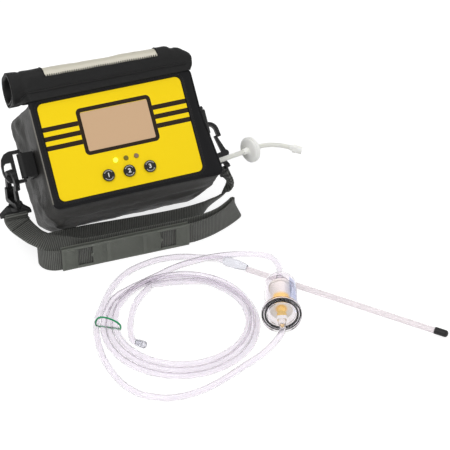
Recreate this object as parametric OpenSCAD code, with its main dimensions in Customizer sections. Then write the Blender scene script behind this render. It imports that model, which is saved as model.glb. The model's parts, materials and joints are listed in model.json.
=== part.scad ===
// Portable gas detector: a pumped instrument in a padded carrying case,
// with its shoulder strap, inlet filter and a coiled sampling line with probe.
// Frame: X along the case's width, Y away from the user, Z up; the floor is Z = 0.

/* [Case] */
// Width of the carrying case
case_w = 173; // [168:1:180]
// Height of the carrying case along its face
case_h = 114; // [112:1:120]
// Depth of the carrying case
case_d = 122; // [118:1:130]
// How far the case leans back from upright, in degrees
lean = 42; // [38:1:45]
// Padded wall thickness
wall = 4; // [3.5:0.5:4.5]
// Edge rounding of the soft case
edge_r = 6; // [5:1:8]

/* [Face plate] */
// Width of the yellow face plate
plate_w = 152; // [148:1:154]
// Height of the yellow face plate
plate_h = 100.4; // [98:0.2:101]
// Height of the plate's lower edge above the case's underside
plate_z = 7; // [6.5:0.5:8]
// Sideways shift of the plate from the case's middle
plate_x = -2.5; // [-3:0.5:0]
// Viewing width of the display
lcd_w = 71; // [66:1:74]
// Viewing height of the display
lcd_h = 40; // [36:1:42]

/* [Keys] */
// Diameter of each key
key_d = 12.2; // [11:0.2:13]
// Distance between neighbouring keys
key_pitch = 22; // [20:1:24]
// Travel of each key
key_travel = 1; // [0.8:0.1:1.2]

/* [Cover flap] */
// Length of the rolled cover flap
flap_l = 190; // [182:1:194]
// Depth of the roll
roll_d = 48; // [46:1:52]
// Height of the roll
roll_h = 33; // [30:1:34]

/* [Strap] */
// Width of the webbing
web_w = 25; // [20:1:25]
// Thickness of the webbing
web_t = 2; // [1.6:0.2:2.2]
// Length of the moulded shoulder pad
pad_l = 137; // [120:1:150]

/* [Sampling line] */
// Outer diameter of the clear tubing
tube_d = 6.4; // [6:0.2:6.6]
// Length of the probe rod
probe_l = 206; // [190:2:220]
// Outer diameter of the probe rod
probe_d = 6; // [5:0.2:6.4]

/* [Hidden] */
$fn = 48;
eps = 0.01;
slide_gap = 0.05;          // running clearance on a radius
clear_gap = 0.3;           // clearance between pieces that only pass each other

// ---- Derived values of the case, in its own upright frame: front at -case_d, back at 0 ----
case_x = 1.5;              // the case sits a little off the middle of the strap
back_y = edge_r * (sin(lean) + cos(lean) - 1) / sin(lean);
origin = [-38.625, 7.105, 0];  // brings the middle of the case and strap, seen from above, to zero
front_y = -case_d;
frame_t = 3;
cavity_y = front_y + frame_t;
half_w = case_w / 2;

// ---- Derived values of the instrument ----
inst_w = case_w - 2 * wall - 2;
inst_z = wall;
inst_h = case_h - 2 * wall - 1;
shell_t = 3;
face_y = cavity_y + clear_gap;             // front of the housing's wall
pad_t = 2.2;                               // raised pad under the face plate
overlay_t = 0.6;
overlay_y = face_y - pad_t - overlay_t;
split_y = face_y + 16;                     // where the two housings meet
gasket_t = 1.5;
rear_y = -wall - 4;
mid_z = plate_z + plate_h / 2;
lcd_z = plate_z + 63.8;
lcd_x = plate_x + 0.5;
led_z = plate_z + 29.6;
led_pitch = 11;
led_r = 2.5;
key_z = plate_z + 16;
key_xs = [for (i = [-1:1]) plate_x + i * key_pitch];
led_xs = [for (i = [-1:1]) plate_x + i * led_pitch];
boss_xs = [-inst_w / 2 + 9, inst_w / 2 - 9];
boss_zs = [inst_z + 30, inst_z + inst_h - 9];

// ---- Derived values of the flap ----
hinge_r = 1.2;
hinge_y = front_y + 1.2;
hinge_z = case_h + hinge_r;
roll_front = front_y - 3;
roll_base = case_h + clear_gap;
roll_end = [0.86, 0.8];    // the roll narrows towards its right end
roll_t = 2.6;
flap_x = -4.5;
window_h = 22.5;
window_x = [-63, 56];

// ---- Derived values of the inlet line ----
port_y = -96.5;
port_z = 14.6;
port_tilt = 20.5;
port_lift = 7.5;
disc_z = 62.6;
disc_r = 13.8;
tail_r = 2.5;
tail_bend = 42;
tail_angle = 52;
tail_roll = -42;

// ---- Rings and hooks ----
bar_out = 12.5;
bar_y = -84;
left_ring_z = 56;
right_ring_z = 61;
left_ring_turn = 0;
right_ring_turn = 68;
ring_t = 4;
left_hook = [-111.75, -32.6, 48.6];
left_hook_turn = -74;
right_arch = [106.4, -69.4, 51.3];
right_hook_tilt = 8;

// ---- Sampling line ----
tube_r = tube_d / 2;
coil_c = [0.5, -212.5];
coil_r = 78;
coil_in_c = [4, -207];
coil_in_r = 62;
filter_at = [89.5, -254, 19.95];
filter_turn = 22;
filter_tilt = 3.6;
probe_at = [78, -135, 5];
probe_turn = -50.3;
connector_l = 26;

// Route of the strap's webbing: point on its middle line, then the direction across its width.
strap_route = [
  [[-111.75, -32.6, 46.1], [1, 0, 0]],
  [[-111.75, -32.6, 43.5], [1, 0, 0]],
  [[-111.75, -32.6, 41], [1, 0, 0]],
  [[-110.8, -35, 38.4], [1, 0, 0]],
  [[-109, -39.5, 36], [1, 0.1, 0]],
  [[-104.5, -47.5, 32.8], [0.9, 0.4, 0]],
  [[-99, -56, 30], [0.8, 0.6, 0]],
  [[-91, -63, 27], [0.6, 0.8, 0.1]],
  [[-82, -67, 22], [0.2, 0.8, 0.5]],
  [[-71, -69.5, 17.3], [0, 0.5, 0.9]],
  [[-58, -71, 14], [0, 0.15, 1]],
  [[-40, -72, 13], [0, 0, 1]],
  [[0, -74.5, 13], [0, 0, 1]],
  [[40, -77, 13], [0, 0, 1]],
  [[75, -77, 13], [0, 0, 1]],
  [[96, -72.5, 13], [-0.1, 0, 1]],
  [[112, -64.5, 12.8], [-0.3, 0, 1]],
  [[118.5, -60.5, 12.6], [-0.42, 0, 1]],
  [[121, -61.5, 12.6], [-0.45, 0, 1]],
  [[120, -64, 12.6], [-0.42, 0, 1]],
  [[113, -69.5, 12.8], [-0.3, 0, 1]],
  [[100, -77.5, 13], [-0.1, 0, 1]],
  [[82, -84.5, 13], [0, 0, 1]],
  [[65, -87.5, 13], [0, 0, 1]],
  [[58, -87.4, 13], [0, 0, 1]],
  [[40, -86.7, 13], [0, 0, 1]],
  [[0, -85, 13], [0, 0, 1]],
  [[-30, -83.7, 13], [0, 0, 1]],
  [[-60, -82.5, 13], [0, 0, 1]],
  [[-74, -81.9, 13], [0, 0, 1]],
  [[-81, -81.6, 13], [0, 0, 1]],
  [[-88, -80, 13], [0, 0, 1]],
  [[-94, -76, 13], [0, 0, 1]],
  [[-98, -69.5, 13], [0, 0, 1]],
  [[-98.5, -62, 13], [0, 0, 1]],
  [[-95, -55, 13], [0, 0, 1]],
  [[-88, -50, 13], [0, 0, 1]],
  [[-76, -48.5, 13], [0, 0, 1]],
  [[-40, -50, 13], [0, 0, 1]],
  [[0, -54, 13], [0, 0, 1]],
  [[40, -57.5, 13], [0, 0, 1]],
  [[68, -57, 13.2], [0, -0.1, 1]],
  [[84, -53.5, 14.2], [0, -0.3, 0.95]],
  [[95, -49.5, 16.7], [-0.15, -0.6, 0.8]],
  [[104, -47.5, 19], [-0.3, -0.7, 0.65]],
  [[111, -47, 22.5], [-0.3, -0.72, 0.64]],
  [[115, -47.5, 28], [-0.28, -0.73, 0.64]],
  [[117, -49.5, 35.5], [-0.25, -0.73, 0.64]],
  [[117, -51.4, 42], [-0.15, -0.74, 0.66]],
  [[114.7, -50, 48.3], [0, -0.743, 0.669]],
  [[114.3, -48, 50.5], [0, -0.743, 0.669]],
  [[113.9, -46, 52.7], [0, -0.743, 0.669]]
];

// Route of the tubing from the moisture filter to the coil, and of its loose end inside the coil.
lead_route = [
  [112.7, -196.6, 16.1], [115.7, -189.2, 15.6], [119.3, -181, 15.5], [120.6, -171, 15.5], [118.5, -161, 15.5],
  [112, -153.2, 15], [98, -144.8, 14.5], [85, -139.6, 14], [72, -135.4, 13], [58, -132.7, 12],
  [46, -131.6, 11], [34, -131.5, 10.2], [20, -133, 9.4], [6, -136.5, 8.6]
];
tail_route = [
  [-2, -143, 3.3], [-10, -147.5, 3.3], [-20, -155.5, 3.3], [-30, -166, 3.3], [-38.5, -180, 3.3],
  [-45, -194, 3.3], [-49, -207, 3.3], [-50.4, -216, 3.6], [-49.72, -221.75, 4.61], [-48.51, -225.46, 6.18]
];
// Route of the tubing from the probe round the outside of the coil to the filter's cap.
probe_route = [
  [77.95, -134.94, 5], [75.4, -131.87, 5], [72.9, -128.8, 4.8], [67, -124.5, 4], [56, -118, 3.3],
  [40, -110.5, 3.3], [24, -106.8, 3.3],
  [8, -106.6, 3.3], [-15, -112, 3.3], [-33, -123.2, 3.3], [-48, -138.4, 3.3], [-60.5, -156.2, 3.3],
  [-72.3, -174, 3.3], [-80, -195.4, 3.3], [-83.5, -215.2, 3.3], [-85, -233, 3.3], [-83.7, -253, 3.3],
  [-79.5, -273, 3.3], [-70.5, -290.6, 3.3], [-60, -299.5, 3.3], [-49.5, -305.6, 3.3], [-37.5, -308.8, 3.3],
  [-24.5, -309.5, 3.3], [-10.5, -308, 3.3], [4.5, -304, 3.3], [20, -298.2, 3.3], [36.4, -291.6, 3.7],
  [46, -289, 4.8], [57, -286.6, 8], [66.5, -283.6, 12], [74, -281, 16.5], [78.8, -278.2, 19.8],
  [81.3, -274.4, 21.3], [82.8, -270.7, 21.05]
];

// ---- Helpers ----
function unit(v) = v / norm(v);
function across(w, t) = unit(w - (w * t) * t);
function ahead(route, i) = unit(route[min(i + 1, len(route) - 1)] - route[max(i - 1, 0)]);
function halfway(a, b, c, d, u) =
  0.5 * ((2 * b) + (c - a) * u + (2 * a - 5 * b + 4 * c - d) * u * u + (3 * b - a - 3 * c + d) * u * u * u);
// Points of a smooth curve through a route, with some steps between each pair of points.
function smooth(route, steps) =
  let (n = len(route))
  [for (i = [0:n - 2]) for (s = [0:steps - 1])
    halfway(route[max(i - 1, 0)], route[i], route[i + 1], route[min(i + 2, n - 1)], s / steps), route[n - 1]];

// Everything stands in the row's frame; the case then leans back on its lower rear edge.
module placed() {
  translate(origin) children();
}

module case_frame() {
  placed() translate([case_x, 0, 0]) rotate([-lean, 0, 0]) children();
}

// Rectangle with round corners, centred.
module round_rect(w, h, r) {
  square([w - 2 * r, h], center = true);
  square([w, h - 2 * r], center = true);
  for (sx = [-1, 1]) for (sy = [-1, 1])
    translate([sx * (w / 2 - r), sy * (h / 2 - r)]) circle(r);
}

// Upright slab in the case's frame: its front at y, its middle at x and z.
module slab(x, z, w, h, r, y, t) {
  translate([x, y + t, z]) rotate([90, 0, 0]) linear_extrude(t) round_rect(w, h, r);
}

// Rod along the case's depth, from y0 to y1.
module depth_rod(x, z, r, y0, y1) {
  translate([x, y1, z]) rotate([90, 0, 0]) cylinder(r = r, h = y1 - y0);
}

// Round tube swept along a route, as one closed solid.
module swept_tube(route, r, sides) {
  n = len(route);
  rings = [for (i = [0:n - 1])
    let (t = ahead(route, i), a = unit(cross(t, [0, 0, 1])), b = cross(a, t))
    for (k = [0:sides - 1]) route[i] + r * (cos(360 * k / sides) * a + sin(360 * k / sides) * b)];
  walls = [for (i = [0:n - 2]) for (k = [0:sides - 1])
    let (m = (k + 1) % sides)
    each [[i * sides + k, i * sides + m, (i + 1) * sides + m],
      [i * sides + k, (i + 1) * sides + m, (i + 1) * sides + k]]];
  ends = [[for (k = [sides - 1:-1:0]) k], [for (k = [0:sides - 1]) (n - 1) * sides + k]];
  polyhedron(rings, concat(walls, ends), convexity = 8);
}

// Flat ribbon swept along a route of points with a direction across the width.
module swept_ribbon(points, sides_dir, w, t) {
  n = len(points);
  corners = [[1, 1], [-1, 1], [-1, -1], [1, -1]];
  rings = [for (i = [0:n - 1])
    let (d = ahead(points, i), a = across(sides_dir[i], d), b = cross(d, a))
    for (c = corners) points[i] + c[0] * a * w / 2 + c[1] * b * t / 2];
  walls = [for (i = [0:n - 2]) for (k = [0:3])
    let (m = (k + 1) % 4)
    each [[i * 4 + m, i * 4 + k, (i + 1) * 4 + k], [i * 4 + m, (i + 1) * 4 + k, (i + 1) * 4 + m]]];
  ends = [[0, 1, 2, 3], [for (k = [3:-1:0]) (n - 1) * 4 + k]];
  polyhedron(rings, concat(walls, ends), convexity = 12);
}

// ---- Carrying case ----
module case_outer() {
  intersection() {
    slab(0, case_h / 2, case_w, case_h, edge_r, front_y, case_d + back_y);
    translate([-half_w, (back_y - case_d) / 2, case_h / 2]) rotate([90, 0, 90])
      linear_extrude(case_w) round_rect(case_d + back_y, case_h, edge_r);
  }
}

module back_panel_shape(gap) {
  slab(0, case_h / 2, case_w - 26, case_h - 26, 8, back_y - wall - gap, wall + 2 * gap);
}

module port_way(r) {
  translate([half_w - wall - 3, port_y, port_z]) rotate([0, -port_lift, port_tilt])
    rotate([0, 90, 0]) cylinder(r = r, h = 18);
}

module case_body() {
  color([0.13, 0.13, 0.13]) case_frame() difference() {
    case_outer();
    translate([-half_w - 1, front_y - 1, -1]) cube([case_w + 2, frame_t + 1, case_h + 2]);
    slab(0, case_h / 2, case_w - 2 * wall, case_h - 2 * wall, 3, cavity_y - 1,
         case_d + back_y - frame_t - wall + 1);
    back_panel_shape(1);
    port_way(9);
  }
}

module case_back_panel() {
  color([0.1, 0.1, 0.1]) case_frame() back_panel_shape(0);
}

module front_frame() {
  color([0.09, 0.09, 0.1]) case_frame() difference() {
    slab(0, case_h / 2, case_w, case_h, edge_r, front_y, frame_t);
    slab(plate_x, mid_z, plate_w + 0.8, plate_h + 0.8, 6.4, front_y - 1, frame_t + 2);
  }
}

// ---- Cover flap, rolled up on top of the case ----
module flap_hem() {
  color([0.16, 0.16, 0.16]) case_frame() translate([-case_w / 2 + 6, hinge_y, hinge_z])
    rotate([0, 90, 0]) cylinder(r = hinge_r, h = case_w - 12);
}

// Oval of the roll, with its lower front corner at the zero point.
module roll_profile(inset) {
  r = roll_h / 2;
  for (y = [r, roll_d - r]) translate([y, r]) circle(r - inset, $fn = 32);
  translate([r, inset]) square([roll_d - roll_h, roll_h - 2 * inset]);
}

module along_roll() {
  translate([flap_x - flap_l / 2, roll_front, roll_base]) rotate([90, 0, 90])
    linear_extrude(flap_l, scale = roll_end, slices = 1, $fn = 24) children();
}

module window_zone() {
  intersection() {
    along_roll() translate([-10, window_h]) square([100, 40]);
    translate([window_x[0], front_y - 30, case_h]) cube([window_x[1] - window_x[0], 120, 60]);
  }
}

module flap() {
  tongue_a = 52;
  color([0.14, 0.14, 0.14]) case_frame() {
    difference() {
      along_roll() difference() {
        roll_profile(0);
        roll_profile(roll_t);
      }
      window_zone();
    }
    translate([-case_w / 2 + 8, hinge_y, hinge_z]) rotate([tongue_a, 0, 0])
      translate([0, hinge_r + 0.25, -0.8]) cube([case_w - 16, 2.6, 1.6]);
  }
}

module flap_window() {
  color([0.85, 0.85, 0.8, 0.5]) case_frame() intersection() {
    along_roll() difference() {
      roll_profile(0.6);
      roll_profile(1.8);
    }
    window_zone();
  }
}

// ---- Webbing tabs that carry the side rings ----
module side_tab(side, z0) {
  sewn = 28;
  color([0.12, 0.12, 0.12]) case_frame() mirror([side < 0 ? 1 : 0, 0, 0])
    translate([half_w, 0, z0 - web_w / 2]) linear_extrude(web_w) difference() {
      union() {
        translate([0, bar_y - 2]) square([3.6, sewn]);
        translate([bar_out, bar_y]) circle(4.1);
        polygon([[0, bar_y - 2], [bar_out, bar_y - 4.1], [bar_out + 1, bar_y + 3.9], [0, bar_y + 6]]);
      }
      translate([bar_out, bar_y]) circle(2 + slide_gap);
    }
}

module left_side_tab() { side_tab(-1, left_ring_z); }
module right_side_tab() { side_tab(1, right_ring_z); }

// ---- Instrument housings and face ----
module face_openings(y0, y1, lcd_grow) {
  slab(lcd_x, lcd_z, lcd_w + lcd_grow, lcd_h + lcd_grow, 1.5, y0, y1 - y0);
  for (x = led_xs) depth_rod(x, led_z, led_r + 0.1, y0, y1);
  for (x = key_xs) depth_rod(x, key_z, key_d / 2 + slide_gap, y0, y1);
}

module housing_box(y0, y1) {
  slab(0, inst_z + inst_h / 2, inst_w, inst_h, 5, y0, y1 - y0);
}

module housing_hollow(y0, y1) {
  slab(0, inst_z + inst_h / 2, inst_w - 2 * shell_t, inst_h - 2 * shell_t, 3, y0, y1 - y0);
}

module front_housing() {
  color([0.12, 0.12, 0.13]) case_frame() difference() {
    union() {
      difference() {
        housing_box(face_y, split_y);
        housing_hollow(face_y + shell_t, split_y + 1);
      }
      slab(plate_x, mid_z, plate_w - 1.2, plate_h - 1.2, 6, face_y - pad_t, pad_t + 1);
      for (x = boss_xs) for (z = boss_zs) depth_rod(x, z, 4, face_y + 1, split_y);
    }
    face_openings(face_y - 5, face_y + shell_t + 2, 0.2);
    for (x = boss_xs) for (z = boss_zs) depth_rod(x, z, 1.5, split_y - 14, split_y + 1);
  }
}

module rear_housing() {
  color([0.12, 0.12, 0.13]) case_frame() difference() {
    union() {
      difference() {
        housing_box(split_y + gasket_t, rear_y);
        housing_hollow(split_y + gasket_t - 1, rear_y - shell_t);
      }
      for (x = boss_xs) for (z = boss_zs) depth_rod(x, z, 4.5, split_y + gasket_t, rear_y - 1);
    }
    for (x = boss_xs) for (z = boss_zs) {
      depth_rod(x, z, 1.7, split_y, rear_y + 1);
      depth_rod(x, z, 3.1, rear_y - 6, rear_y + 1);
    }
    translate([inst_w / 2 - shell_t - 3, port_y, port_z]) rotate([0, 90, 0])
      cylinder(r = 4.05, h = shell_t + 6);
  }
}

module housing_gasket() {
  color([0.3, 0.3, 0.32]) case_frame() difference() {
    housing_box(split_y, split_y + gasket_t);
    housing_hollow(split_y - 1, split_y + gasket_t + 1);
  }
}

module housing_screws() {
  color([0.75, 0.75, 0.77]) case_frame() for (x = boss_xs) for (z = boss_zs) {
    depth_rod(x, z, 2.8, rear_y - 6, rear_y - 3.4);
    depth_rod(x, z, 1.45, split_y - 10, rear_y - 5);
  }
}

module face_overlay() {
  color([0.98, 0.84, 0.05]) case_frame() difference() {
    slab(plate_x, mid_z, plate_w, plate_h, 6, overlay_y, overlay_t);
    face_openings(overlay_y - 1, overlay_y + overlay_t + 1, 0.2);
  }
}

module display_window() {
  color([0.83, 0.68, 0.52]) case_frame() {
    slab(lcd_x, lcd_z, lcd_w, lcd_h, 1.4, overlay_y + 0.1, face_y + shell_t - overlay_y - 0.1);
    slab(lcd_x, lcd_z, lcd_w + 6, lcd_h + 6, 2, face_y + shell_t, 1.5);
  }
}

module lcd_module() {
  color([0.25, 0.45, 0.3]) case_frame() {
    slab(lcd_x, lcd_z, lcd_w + 8, lcd_h + 8, 1, face_y + shell_t + 1.5, 5);
    slab(lcd_x, lcd_z, lcd_w + 14, lcd_h + 14, 1, face_y + shell_t + 6.5, 1.6);
  }
}

board_y = face_y + 19;

module main_board() {
  color([0.1, 0.4, 0.2]) case_frame() {
    slab(0, inst_z + inst_h / 2, inst_w - 40, inst_h - 10, 2, board_y, 1.6);
    slab(30, 80, 24, 16, 0.5, board_y + 1.6, 3);
    slab(-34, 70, 14, 14, 0.5, board_y + 1.6, 2);
    slab(-10, 32, 30, 8, 0.5, board_y + 1.6, 6);
  }
}

module key_switches() {
  color([0.2, 0.2, 0.2]) case_frame() for (x = key_xs) {
    slab(x, key_z, 12, 12, 1, board_y - 7, 7);
    depth_rod(x, key_z, 3.4, board_y - 12.4, board_y - 6);
  }
}

module status_leds() {
  color([0.7, 0.8, 0.3]) case_frame() for (x = led_xs) {
    depth_rod(x, led_z, led_r, overlay_y, board_y);
    translate([x, overlay_y, led_z]) intersection() {
      scale(1) sphere(led_r);
      translate([-5, -1.6, -5]) cube([10, 5, 10]);
    }
    depth_rod(x, led_z, 2.9, face_y + shell_t, face_y + shell_t + 1.5);
  }
}

module key(i) {
  back_y = face_y + shell_t + 0.3;
  color([0.07, 0.07, 0.07]) case_frame() {
    depth_rod(key_xs[i], key_z, key_d / 2, overlay_y - 1.8, back_y + eps);
    depth_rod(key_xs[i], key_z, key_d / 2 + 1.4, back_y, back_y + 1.2);
  }
}

module left_key() { key(0); }
module middle_key() { key(1); }
module right_key() { key(2); }

// ---- Inside the rear housing ----
cell_r = 7.2;
cell_l = 50;
holder_x = -66;
holder_z = inst_z + shell_t;
holder_y = rear_y - shell_t - 33;

module battery_holder() {
  color([0.08, 0.08, 0.08]) case_frame() translate([holder_x, holder_y, holder_z]) difference() {
    cube([cell_l + 6, 33, 33]);
    translate([2.5, -1, 2]) cube([cell_l + 1, 31.5, 40]);
  }
}

module battery_cells() {
  color([0.75, 0.6, 0.25]) case_frame() for (i = [0, 1]) for (j = [0, 1])
    translate([holder_x + 3, holder_y + cell_r + 0.2 + i * 15, holder_z + 2 + cell_r + j * 15])
    rotate([0, 90, 0]) {
      cylinder(r = cell_r, h = cell_l - 1.4);
      cylinder(r = 2.7, h = cell_l);
    }
}

block_x = 30;
block_y = -58;
block_z = inst_z + shell_t;

module sensor_block() {
  color([0.85, 0.85, 0.83]) case_frame() translate([block_x, block_y, block_z]) difference() {
    cube([36, 40, 28]);
    translate([18, 20, 10]) cylinder(r = 16.1, h = 30);
    translate([18, 20, 6]) cylinder(r = 3, h = 10);
  }
}

module sensor_cell() {
  color([0.3, 0.32, 0.36]) case_frame() translate([block_x + 18, block_y + 20, block_z + 10]) {
    cylinder(r = 16, h = 16.5);
    cylinder(r = 10, h = 21);
  }
}

motor_x = -6;
motor_y = -50;
motor_z = inst_z + shell_t + 50;

module pump_motor() {
  color([0.7, 0.7, 0.72]) case_frame() translate([motor_x, motor_y, motor_z]) rotate([0, 90, 0]) difference() {
    cylinder(r = 12, h = 30);
    translate([0, 0, 4]) cylinder(r = 1.5 + slide_gap, h = 40);
  }
}

module pump_shaft() {
  color([0.6, 0.6, 0.6]) case_frame() translate([motor_x + 4.2, motor_y, motor_z]) rotate([0, 90, 0]) {
    cylinder(r = 1.5, h = 34.8);
    translate([2, 0, 28]) cylinder(r = 4.5, h = 6);
  }
}

module pump_head() {
  color([0.16, 0.16, 0.17]) case_frame() translate([motor_x + 30, motor_y - 13, motor_z - 13]) difference() {
    cube([22, 26, 34]);
    translate([-1, 13, 13]) rotate([0, 90, 0]) cylinder(r = 8, h = 14);
  }
}

module internal_tube() {
  tail_x = inst_w / 2 - shell_t - 7;
  color([0.85, 0.85, 0.8]) case_frame() {
    translate([tail_x - 3, port_y, port_z]) rotate([0, 90, 0]) cylinder(r = 2.4, h = 3);
    translate([tail_x - 3, port_y + 10, port_z]) rotate([0, 0, -90]) rotate_extrude(angle = -90)
      translate([10, 0]) circle(2.4);
    translate([tail_x - 13, port_y + 10, port_z]) rotate([-90, 0, 0])
      cylinder(r = 2.4, h = block_y - port_y - 10);
  }
}

// ---- Inlet line on the case's right side ----
module inlet_frame() {
  case_frame() translate([half_w, port_y, port_z]) rotate([0, -port_lift, port_tilt])
    rotate([0, 90, 0]) children();
}

module inlet_port() {
  wall_x = inst_w / 2;
  color([0.8, 0.8, 0.76]) {
    case_frame() translate([wall_x - shell_t - 7, port_y, port_z]) rotate([0, 90, 0]) {
      cylinder(r = 2.6, h = 7);
      translate([0, 0, 7]) cylinder(r = 4, h = shell_t);
      translate([0, 0, 7 + shell_t]) cylinder(r = 5.5, h = 2);
    }
    inlet_frame() translate([0, 0, -4.2]) cylinder(r = 3.2, h = 8.2);
  }
}

module inlet_tube() {
  color([0.9, 0.9, 0.88]) inlet_frame() translate([0, 0, 4]) cylinder(r = 2.6, h = disc_z - 15);
}

// Half of a domed disc filter: hub and dome towards -Z, the seam at Z = 0.
module disc_half() {
  rotate_extrude() polygon(concat(
    [[0, 0], [disc_r, 0], [disc_r, -1.6]],
    [for (a = [0:15:90]) [4 + (disc_r - 5) * cos(a), -2.2 - 2.6 * sin(a)]],
    [[3.6, -5.6], [3.2, -11], [0, -11]]));
}

module disc_filter_inlet_half() {
  color([0.93, 0.93, 0.9]) inlet_frame() translate([0, 0, disc_z]) disc_half();
}

module disc_filter_outlet_half() {
  color([0.93, 0.93, 0.9]) inlet_frame() translate([0, 0, disc_z]) mirror([0, 0, 1]) disc_half();
}

module tail_frame() {
  inlet_frame() rotate([0, 0, tail_roll]) translate([tail_bend, 0, disc_z + 11]) rotate([-90, 0, 0])
    rotate([0, 0, 180]) children();
}

module tail_tube() {
  color([0.9, 0.9, 0.88]) tail_frame() rotate_extrude(angle = tail_angle)
    translate([tail_bend, 0]) circle(tail_r);
}

module fitting_frame() {
  tail_frame() rotate([0, 0, tail_angle]) translate([tail_bend, 0, 0]) rotate([-90, 0, 0]) children();
}

module luer_fitting() {
  color([0.92, 0.92, 0.88]) fitting_frame() difference() {
    union() {
      cylinder(r = 3.2, h = 3);
      translate([0, 0, 3]) cylinder(r = 2.6, h = 4.6);
      translate([0, 0, 7.6]) cylinder(r = 4.2, h = 6);
    }
    translate([0, 0, 5]) cylinder(r = 2.1, h = 10);
  }
}

module luer_collar() {
  color([0.9, 0.9, 0.86]) fitting_frame() translate([0, 0, 3.2]) difference() {
    union() {
      cylinder(r = 4.3, h = 4.2);
      for (a = [0:45:315]) rotate([0, 0, a]) translate([4.2, 0, 0]) cylinder(r = 0.6, h = 4.2);
    }
    translate([0, 0, -1]) cylinder(r = 2.6 + slide_gap, h = 7);
  }
}

// ---- Side rings and snap hooks ----
// Ring plate in the XZ plane, its bar on the Z axis, reaching towards +X.
module ring_plate() {
  rotate([90, 0, 0]) translate([0, 0, -ring_t / 2]) linear_extrude(ring_t) difference() {
    polygon([[0, -17], [0, 17], [12, 17], [17, 15], [20.5, 10.5], [22, 4], [22, -4], [20.5, -10],
             [18, -14], [14, -15.5], [9, -17]]);
    translate([-3, -13.4]) square([11, 26.8]);
    polygon([[11.7, -8], [11.7, 5.5], [17, 5.5], [19.4, 3], [20, 0], [20, -8]]);
  }
  translate([0, 0, -14]) cylinder(r = 2, h = 28);
}

module ring(side, z0, turn) {
  color([0.06, 0.06, 0.06]) case_frame() translate([side * (half_w + bar_out), bar_y, z0])
    rotate([0, 0, side > 0 ? turn : 180 - turn]) ring_plate();
}

module left_ring() { ring(-1, left_ring_z, left_ring_turn); }
module right_ring() { ring(1, right_ring_z, right_ring_turn); }

module left_hook_frame() {
  placed() translate(left_hook) rotate([0, 0, left_hook_turn]) children();
}

module right_hook_frame() {
  case_frame() translate(right_arch) rotate([0, -right_hook_tilt, 0]) translate([0, 0, -arch_z]) children();
}

hook_t = 5;
base_t = 8;
arch_z = 40.5;
arch_out = 10.5;
arch_in = 6.5;
tip_z = 32.5;
pin_x = 7.5;
pin_z = 13.4;
gate_t = 3.4;

module hook_plate(t) {
  rotate([90, 0, 0]) translate([0, 0, -t / 2]) linear_extrude(t) children();
}

// Hook body: spine at -X, finger over the top to +X, swivel post downwards along Z.
module hook_body() {
  difference() {
    union() {
      hook_plate(hook_t) {
        difference() {
          translate([0, arch_z]) circle(arch_out);
          translate([0, arch_z]) circle(arch_in);
          translate([-20, arch_z - 20]) square([40, 20]);
        }
        translate([-arch_out, 12]) square([arch_out - arch_in, arch_z - 12]);
        translate([arch_in, tip_z]) square([arch_out - arch_in, arch_z - tip_z]);
      }
      hook_plate(base_t) {
        polygon([[-9, 10.4], [9, 10.4], [9, 16], [-6.2, 16], [-6.2, 27], [-10.5, 27], [-10.5, 12.5]]);
        translate([pin_x, pin_z]) circle(3.6);
      }
      translate([0, 0, 6.9]) cylinder(r = 3, h = 5);
      translate([0, 0, 5.4]) cylinder(r = 4.4, h = 1.5);
    }
    translate([2.5, -gate_t / 2 - 0.2, 9]) cube([20, gate_t + 0.4, 9]);
  }
  translate([pin_x, base_t / 2, pin_z]) rotate([90, 0, 0]) cylinder(r = 1.2, h = base_t);
}

// Gate tongue: closes against the inside of the finger's tip.
module gate_tongue() {
  difference() {
    hook_plate(gate_t) {
      translate([pin_x, pin_z]) circle(3);
      polygon([[pin_x - 2.9, pin_z], [pin_x + 2.9, pin_z], [6.35, 32.2], [5.9, 34.5], [3.1, 34.5]]);
    }
    translate([pin_x, 10, pin_z]) rotate([90, 0, 0]) cylinder(r = 1.2 + slide_gap, h = 20);
  }
}

// Swivel eye: a bar of the webbing's width below a collar that holds the hook's post.
module eye_loop() {
  difference() {
    union() {
      hook_plate(5) polygon([[-16.4, -2.4], [16.4, -2.4], [16.4, 0.4], [7.5, 8.6], [-7.5, 8.6], [-16.4, 0.4]]);
      translate([0, 0, 5.2]) cylinder(r = 6.4, h = 4.4);
    }
    hook_plate(10) polygon([[-12.8, 0.8], [12.8, 0.8], [9, 4.2], [-9, 4.2]]);
    translate([0, 0, 4]) cylinder(r = 4.8, h = 3.2);
    translate([0, 0, 5]) cylinder(r = 3 + slide_gap, h = 20);
  }
}

module left_hook() { color([0.06, 0.06, 0.06]) left_hook_frame() hook_body(); }
module right_hook() { color([0.06, 0.06, 0.06]) right_hook_frame() hook_body(); }
module left_gate() { color([0.09, 0.09, 0.09]) left_hook_frame() gate_tongue(); }
module right_gate() { color([0.09, 0.09, 0.09]) right_hook_frame() gate_tongue(); }
module left_eye() { color([0.06, 0.06, 0.06]) left_hook_frame() rotate([0, 0, -left_hook_turn]) eye_loop(); }
module right_eye() { color([0.06, 0.06, 0.06]) right_hook_frame() rotate([0, 0, 90]) eye_loop(); }

// ---- Strap and pad ----
module strap_webbing() {
  points = smooth([for (p = strap_route) p[0]], 2);
  widths = smooth([for (p = strap_route) p[1]], 2);
  color([0.18, 0.18, 0.18]) placed() swept_ribbon(points, widths, web_w, web_t);
}

module shoulder_pad() {
  color([0.33, 0.34, 0.32]) placed() translate([-11.5, -84.5, 0]) rotate([0, 0, -2.4]) {
    translate([-pad_l / 2, -3.4, 0]) cube([pad_l, 2.2, 27]);
    translate([-pad_l / 2, 1.3, 0]) cube([pad_l, 1.8, 27]);
  }
}

// ---- Moisture filter in the sampling line; its axis is local Z, the bowl towards +Z ----
module filter_frame() {
  placed() translate(filter_at) rotate([0, 0, -filter_turn]) rotate([-90 - filter_tilt, 0, 0]) children();
}

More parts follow.
